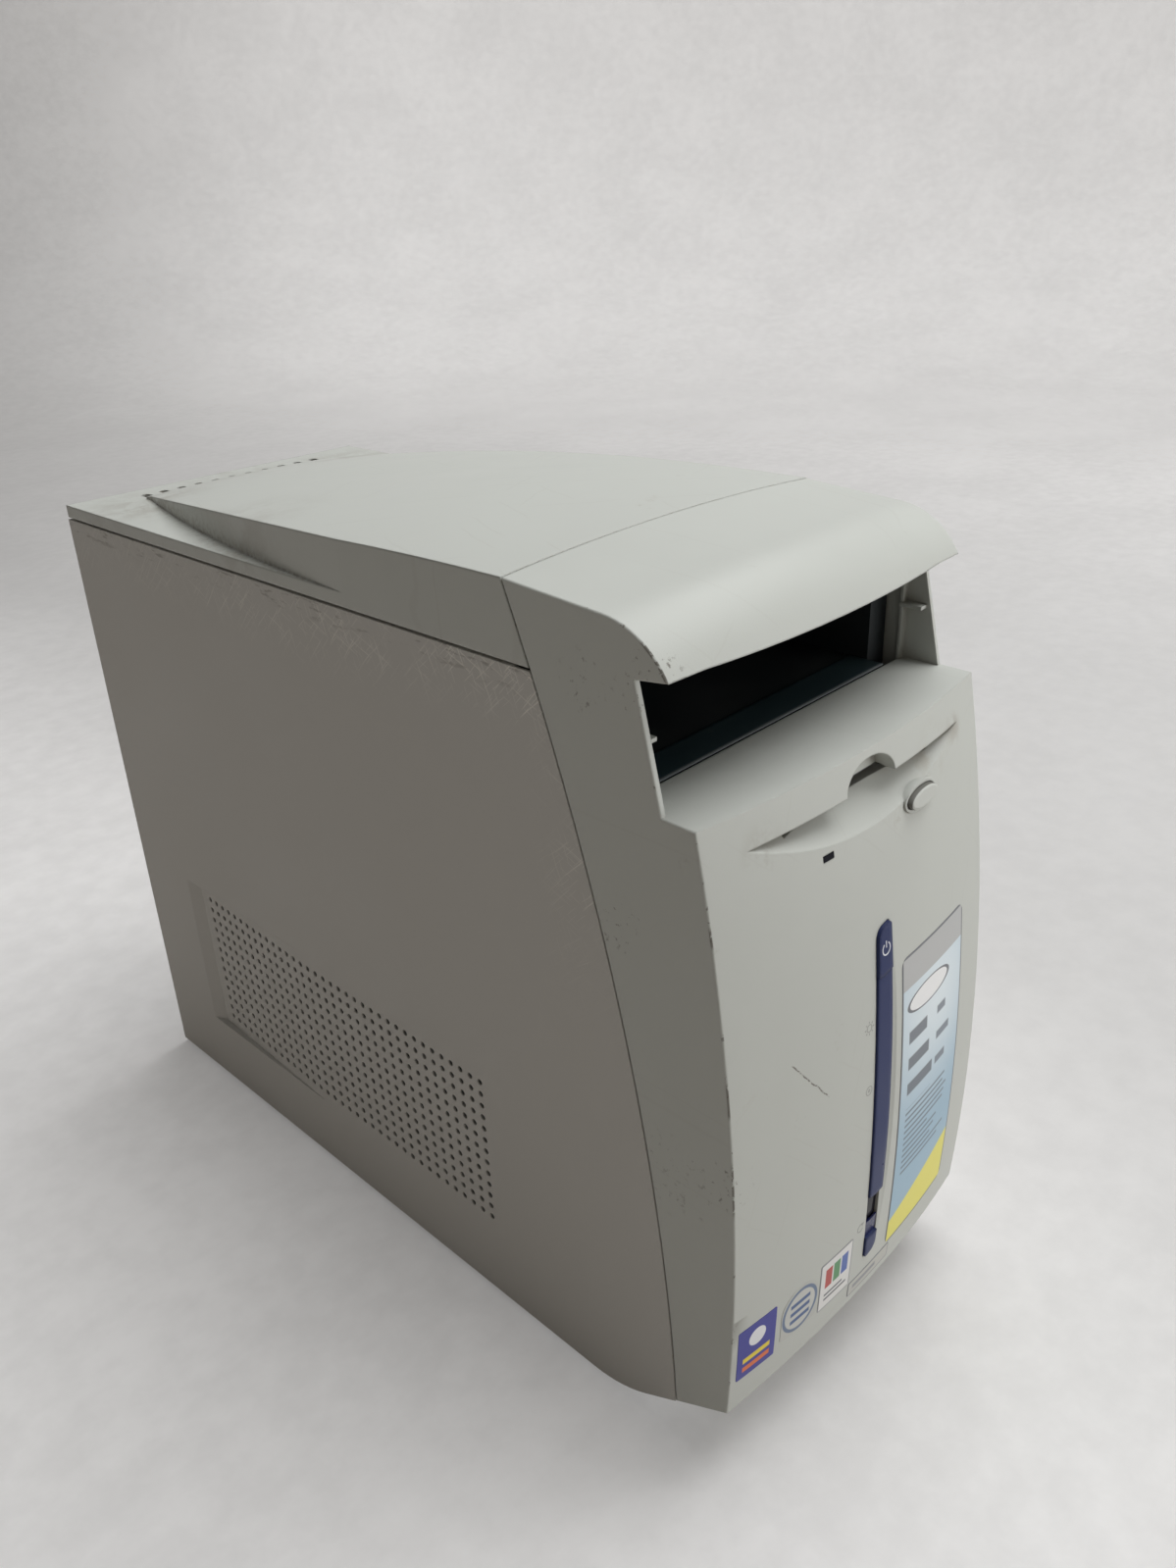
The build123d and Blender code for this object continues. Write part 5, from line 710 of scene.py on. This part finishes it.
front_film("white_sticker", [round_corners(*white_box, (0.001,) * 4)], white_film, "chassis")

strip_film, tree, shader, tone, x, z = printed("strip_film")
strip_box = (-0.0154, 0.0169, 0.0476, 0.0559)
colour = tint(tree, tone, (0.47, 0.475, 0.44, 1), (0.54, 0.545, 0.51, 1))
colour = rimmed(tree, x, z, strip_box, 0.0005, (0.24, 0.25, 0.27, 1), colour)
colour = tint(tree, boxed(tree, x, z, -0.0120, 0.0060, 0.0505, 0.0528), colour, (0.30, 0.31, 0.33, 1))
feed(tree, shader, {"Base Color": colour})
front_film("strip_sticker", [round_corners(*strip_box, (0.0008,) * 4)], strip_film, "chassis")

ink_film = dict(proud=0.00005, grid=0.02)
power_x, power_z, button_rise = -0.0001, 0.2213, 0.0012
white_ink = toned("white_ink", dark=(0.66, 0.68, 0.74, 1), light=(0.78, 0.80, 0.84, 1), **film_finish)
front_film("standby_mark", [
    arc_band(power_x, power_z, 0.0029, 0.0023, 122, 418),
    round_corners(power_x - 0.0003, power_x + 0.0003, power_z + 0.0004, power_z + 0.0034, (0.0001,) * 4)],
    white_ink, "power_button", rise=button_rise, **ink_film)

mark_x, lamp_z, disk_z, reset_z = -0.0112, 0.1905, 0.1606, 0.0867
grey_ink = toned("grey_ink", dark=(0.30, 0.31, 0.30, 1), light=(0.38, 0.39, 0.37, 1), **film_finish)
front_film("lamp_mark", ring(mark_x, lamp_z, 0.0018, 0.0014) + [
    arc_band(mark_x, lamp_z, 0.0031, 0.0023, middle - 5, middle + 5, 2) for middle in range(0, 360, 45)],
    grey_ink, "chassis", **ink_film)
front_film("disk_mark", ring(mark_x, disk_z, 0.0022, 0.0018) + ring(mark_x, disk_z, 0.0008, 0.0003),
           grey_ink, "chassis", **ink_film)
front_film("reset_mark", [
    arc_band(mark_x, reset_z, 0.0023, 0.0018, 60, 330),
    [(mark_x + 0.0004, reset_z + 0.0024), (mark_x + 0.0027, reset_z + 0.0019),
     (mark_x + 0.0012, reset_z + 0.0003)]], grey_ink, "chassis", **ink_film)

# Stage: a pale painted floor that curves up into a wall all round, as in a studio, with a slight mottle.
# It glows a little where it is seen, so that the light that it throws on the tower stays low. The glow
# grows with distance; painted light adds glow to the left and in a patch by the tower's left front corner
# that lightens its shadow, painted shade takes glow away towards the rear left, and painted shade darkens
# the floor to the right.
floor_radius, sweep_radius, wall_top, segments, sweep_steps = 2.6, 1.2, 2.6, 96, 10
bounce_colour = (0.64, 0.601, 0.562, 1)
stage_paint_and_painted_light, tree, shader = new_finish("stage_paint_and_painted_light", specular=0.2)
point = local_point(tree)
cloud = calc(tree, "ADD", times(tree, noise(tree, point, 5.0, 6.0, 0.6), 0.5),
             times(tree, noise(tree, point, 45.0, 4.0, 0.6), 0.5))
colour = tint(tree, ramp(tree, cloud, 0.3, 0.7), (0.68, 0.675, 0.67, 1), (0.76, 0.755, 0.75, 1))
floor_x, floor_y, _ = split(tree, point)
# Painted shade: the floor to the right is darkened.
painted_shade_right = times(tree, ramp(tree, floor_x, 0.0, 0.35), ramp(tree, floor_x, 1.8, 0.8))
colour = lay(tree, colour, (0.46, 0.46, 0.455, 1), painted_shade_right, 0.35)
rays = place(tree, "LightPath").outputs
seen = calc(tree, "MAXIMUM", rays["Is Camera Ray"],
            calc(tree, "MAXIMUM", rays["Is Glossy Ray"], rays["Is Transmission Ray"]))
far_off = ramp(tree, measure(tree, "LENGTH", point), 0.5, 3.4)
leftward = calc(tree, "SUBTRACT", floor_y, floor_x)
painted_light_and_shade_glow = calc(tree, "ADD", 0.10, times(tree, far_off, 0.54))
# Painted light: more glow to the left and in a patch by the left front corner, in the tower's shadow.
painted_light_and_shade_glow = calc(tree, "ADD", painted_light_and_shade_glow, times(tree, ramp(tree, floor_x, 0.4, -0.4), 0.20))
painted_light_and_shade_glow = calc(tree, "ADD", painted_light_and_shade_glow, times(tree, near(tree, point, (-0.17, -0.20, 0.0), 0.22), 0.09))
# Painted shade: less glow towards the rear left.
painted_light_and_shade_glow = calc(tree, "SUBTRACT", painted_light_and_shade_glow, times(tree, ramp(tree, leftward, 0.5, 2.6), 0.34))
feed(tree, shader, {"Base Color": tint(tree, seen, bounce_colour, colour),
                    "Roughness": ramp(tree, cloud, -1.0, 1.0),
                    "Emission Color": colour, "Emission Strength": times(tree, painted_light_and_shade_glow, seen)})
roughen(tree, shader, cloud, 0.05)
form = bmesh.new()
profile = [(0.3, 0.0), (1.0, 0.0), (floor_radius, 0.0)]
profile += [(floor_radius + sweep_radius * sin(a), sweep_radius * (1 - cos(a)))
            for a in [step / sweep_steps * pi / 2 for step in range(1, sweep_steps + 1)]]
profile.append((floor_radius + sweep_radius, wall_top))
turns = [2 * pi * i / segments for i in range(segments)]
rings = [[form.verts.new((r * cos(a), r * sin(a), z)) for a in turns] for r, z in profile]
form.faces.new(rings[0])
for lower, upper in zip(rings, rings[1:]):
    for i in range(segments):
        j = (i + 1) % segments
        form.faces.new((lower[i], upper[i], upper[j], lower[j]))
stage = add_mesh("studio_floor", form, stage_paint_and_painted_light)
for face in stage.data.polygons:
    face.use_smooth = True

# Light: one large soft lamp overhead to the right, a weak one low in front that leaves the floor alone,
# and a dim even sky.


def soft_lamp(name, place_at, aim, size, power):
    """A square soft lamp at a place, turned to a point."""
    data = bpy.data.lights.new(name, "AREA")
    data.shape = "SQUARE"
    data.size = size
    data.energy = power
    lamp = bpy.data.objects.new(name, data)
    lamp.location = place_at
    lamp.rotation_euler = (Vector(aim) - Vector(place_at)).to_track_quat("-Z", "Y").to_euler()
    lamp.visible_camera = False
    bpy.context.scene.collection.objects.link(lamp)
    return lamp


soft_lamp("key_lamp", (0.75, -0.25, 2.2), aim=(0.0, -0.1, 0.2), size=1.9, power=48.0)
front_lamp = soft_lamp("front_lamp", (0.8, -1.5, 0.30), aim=(0.0, -0.2, 0.2), size=1.0, power=12.5)
unlit = bpy.data.collections.new("left_out_of_front_lamp")
unlit.objects.link(stage)
unlit.collection_objects[0].light_linking.link_state = "EXCLUDE"
front_lamp.light_linking.receiver_collection = unlit
world = bpy.data.worlds.new("dim_sky")
world.use_nodes = True
sky = world.node_tree.nodes["Background"]
feed(world.node_tree, sky, {"Color": (1.0, 0.965, 0.928, 1), "Strength": 0.108})
bpy.context.scene.world = world
bpy.context.scene.view_settings.view_transform = "Standard"

# Camera: standing in front of the left corner and looking down, with the lens of a phone. Its focal
# length is counted in pixels of a picture 1599 pixels high.
right = Vector((0.69066916, -0.72231599, -0.03515299))
down = Vector((-0.34525068, -0.28663199, -0.89366888))
forward = Vector((0.63543535, 0.62936612, -0.44734796))
eye = Vector((-0.359718, -0.41763, 0.494635))
sensor_width, focal_pixels, picture_height = 36.0, 1259.07, 1599
lens_data = bpy.data.cameras.new("photo_camera")
lens_data.sensor_width = sensor_width
lens_data.lens = sensor_width * focal_pixels / picture_height
lens_data.clip_start = 0.01
camera = bpy.data.objects.new("photo_camera", lens_data)
camera.matrix_world = Matrix((
    (right.x, -down.x, -forward.x, eye.x), (right.y, -down.y, -forward.y, eye.y),
    (right.z, -down.z, -forward.z, eye.z), (0, 0, 0, 1)))
bpy.context.scene.collection.objects.link(camera)
bpy.context.scene.camera = camera
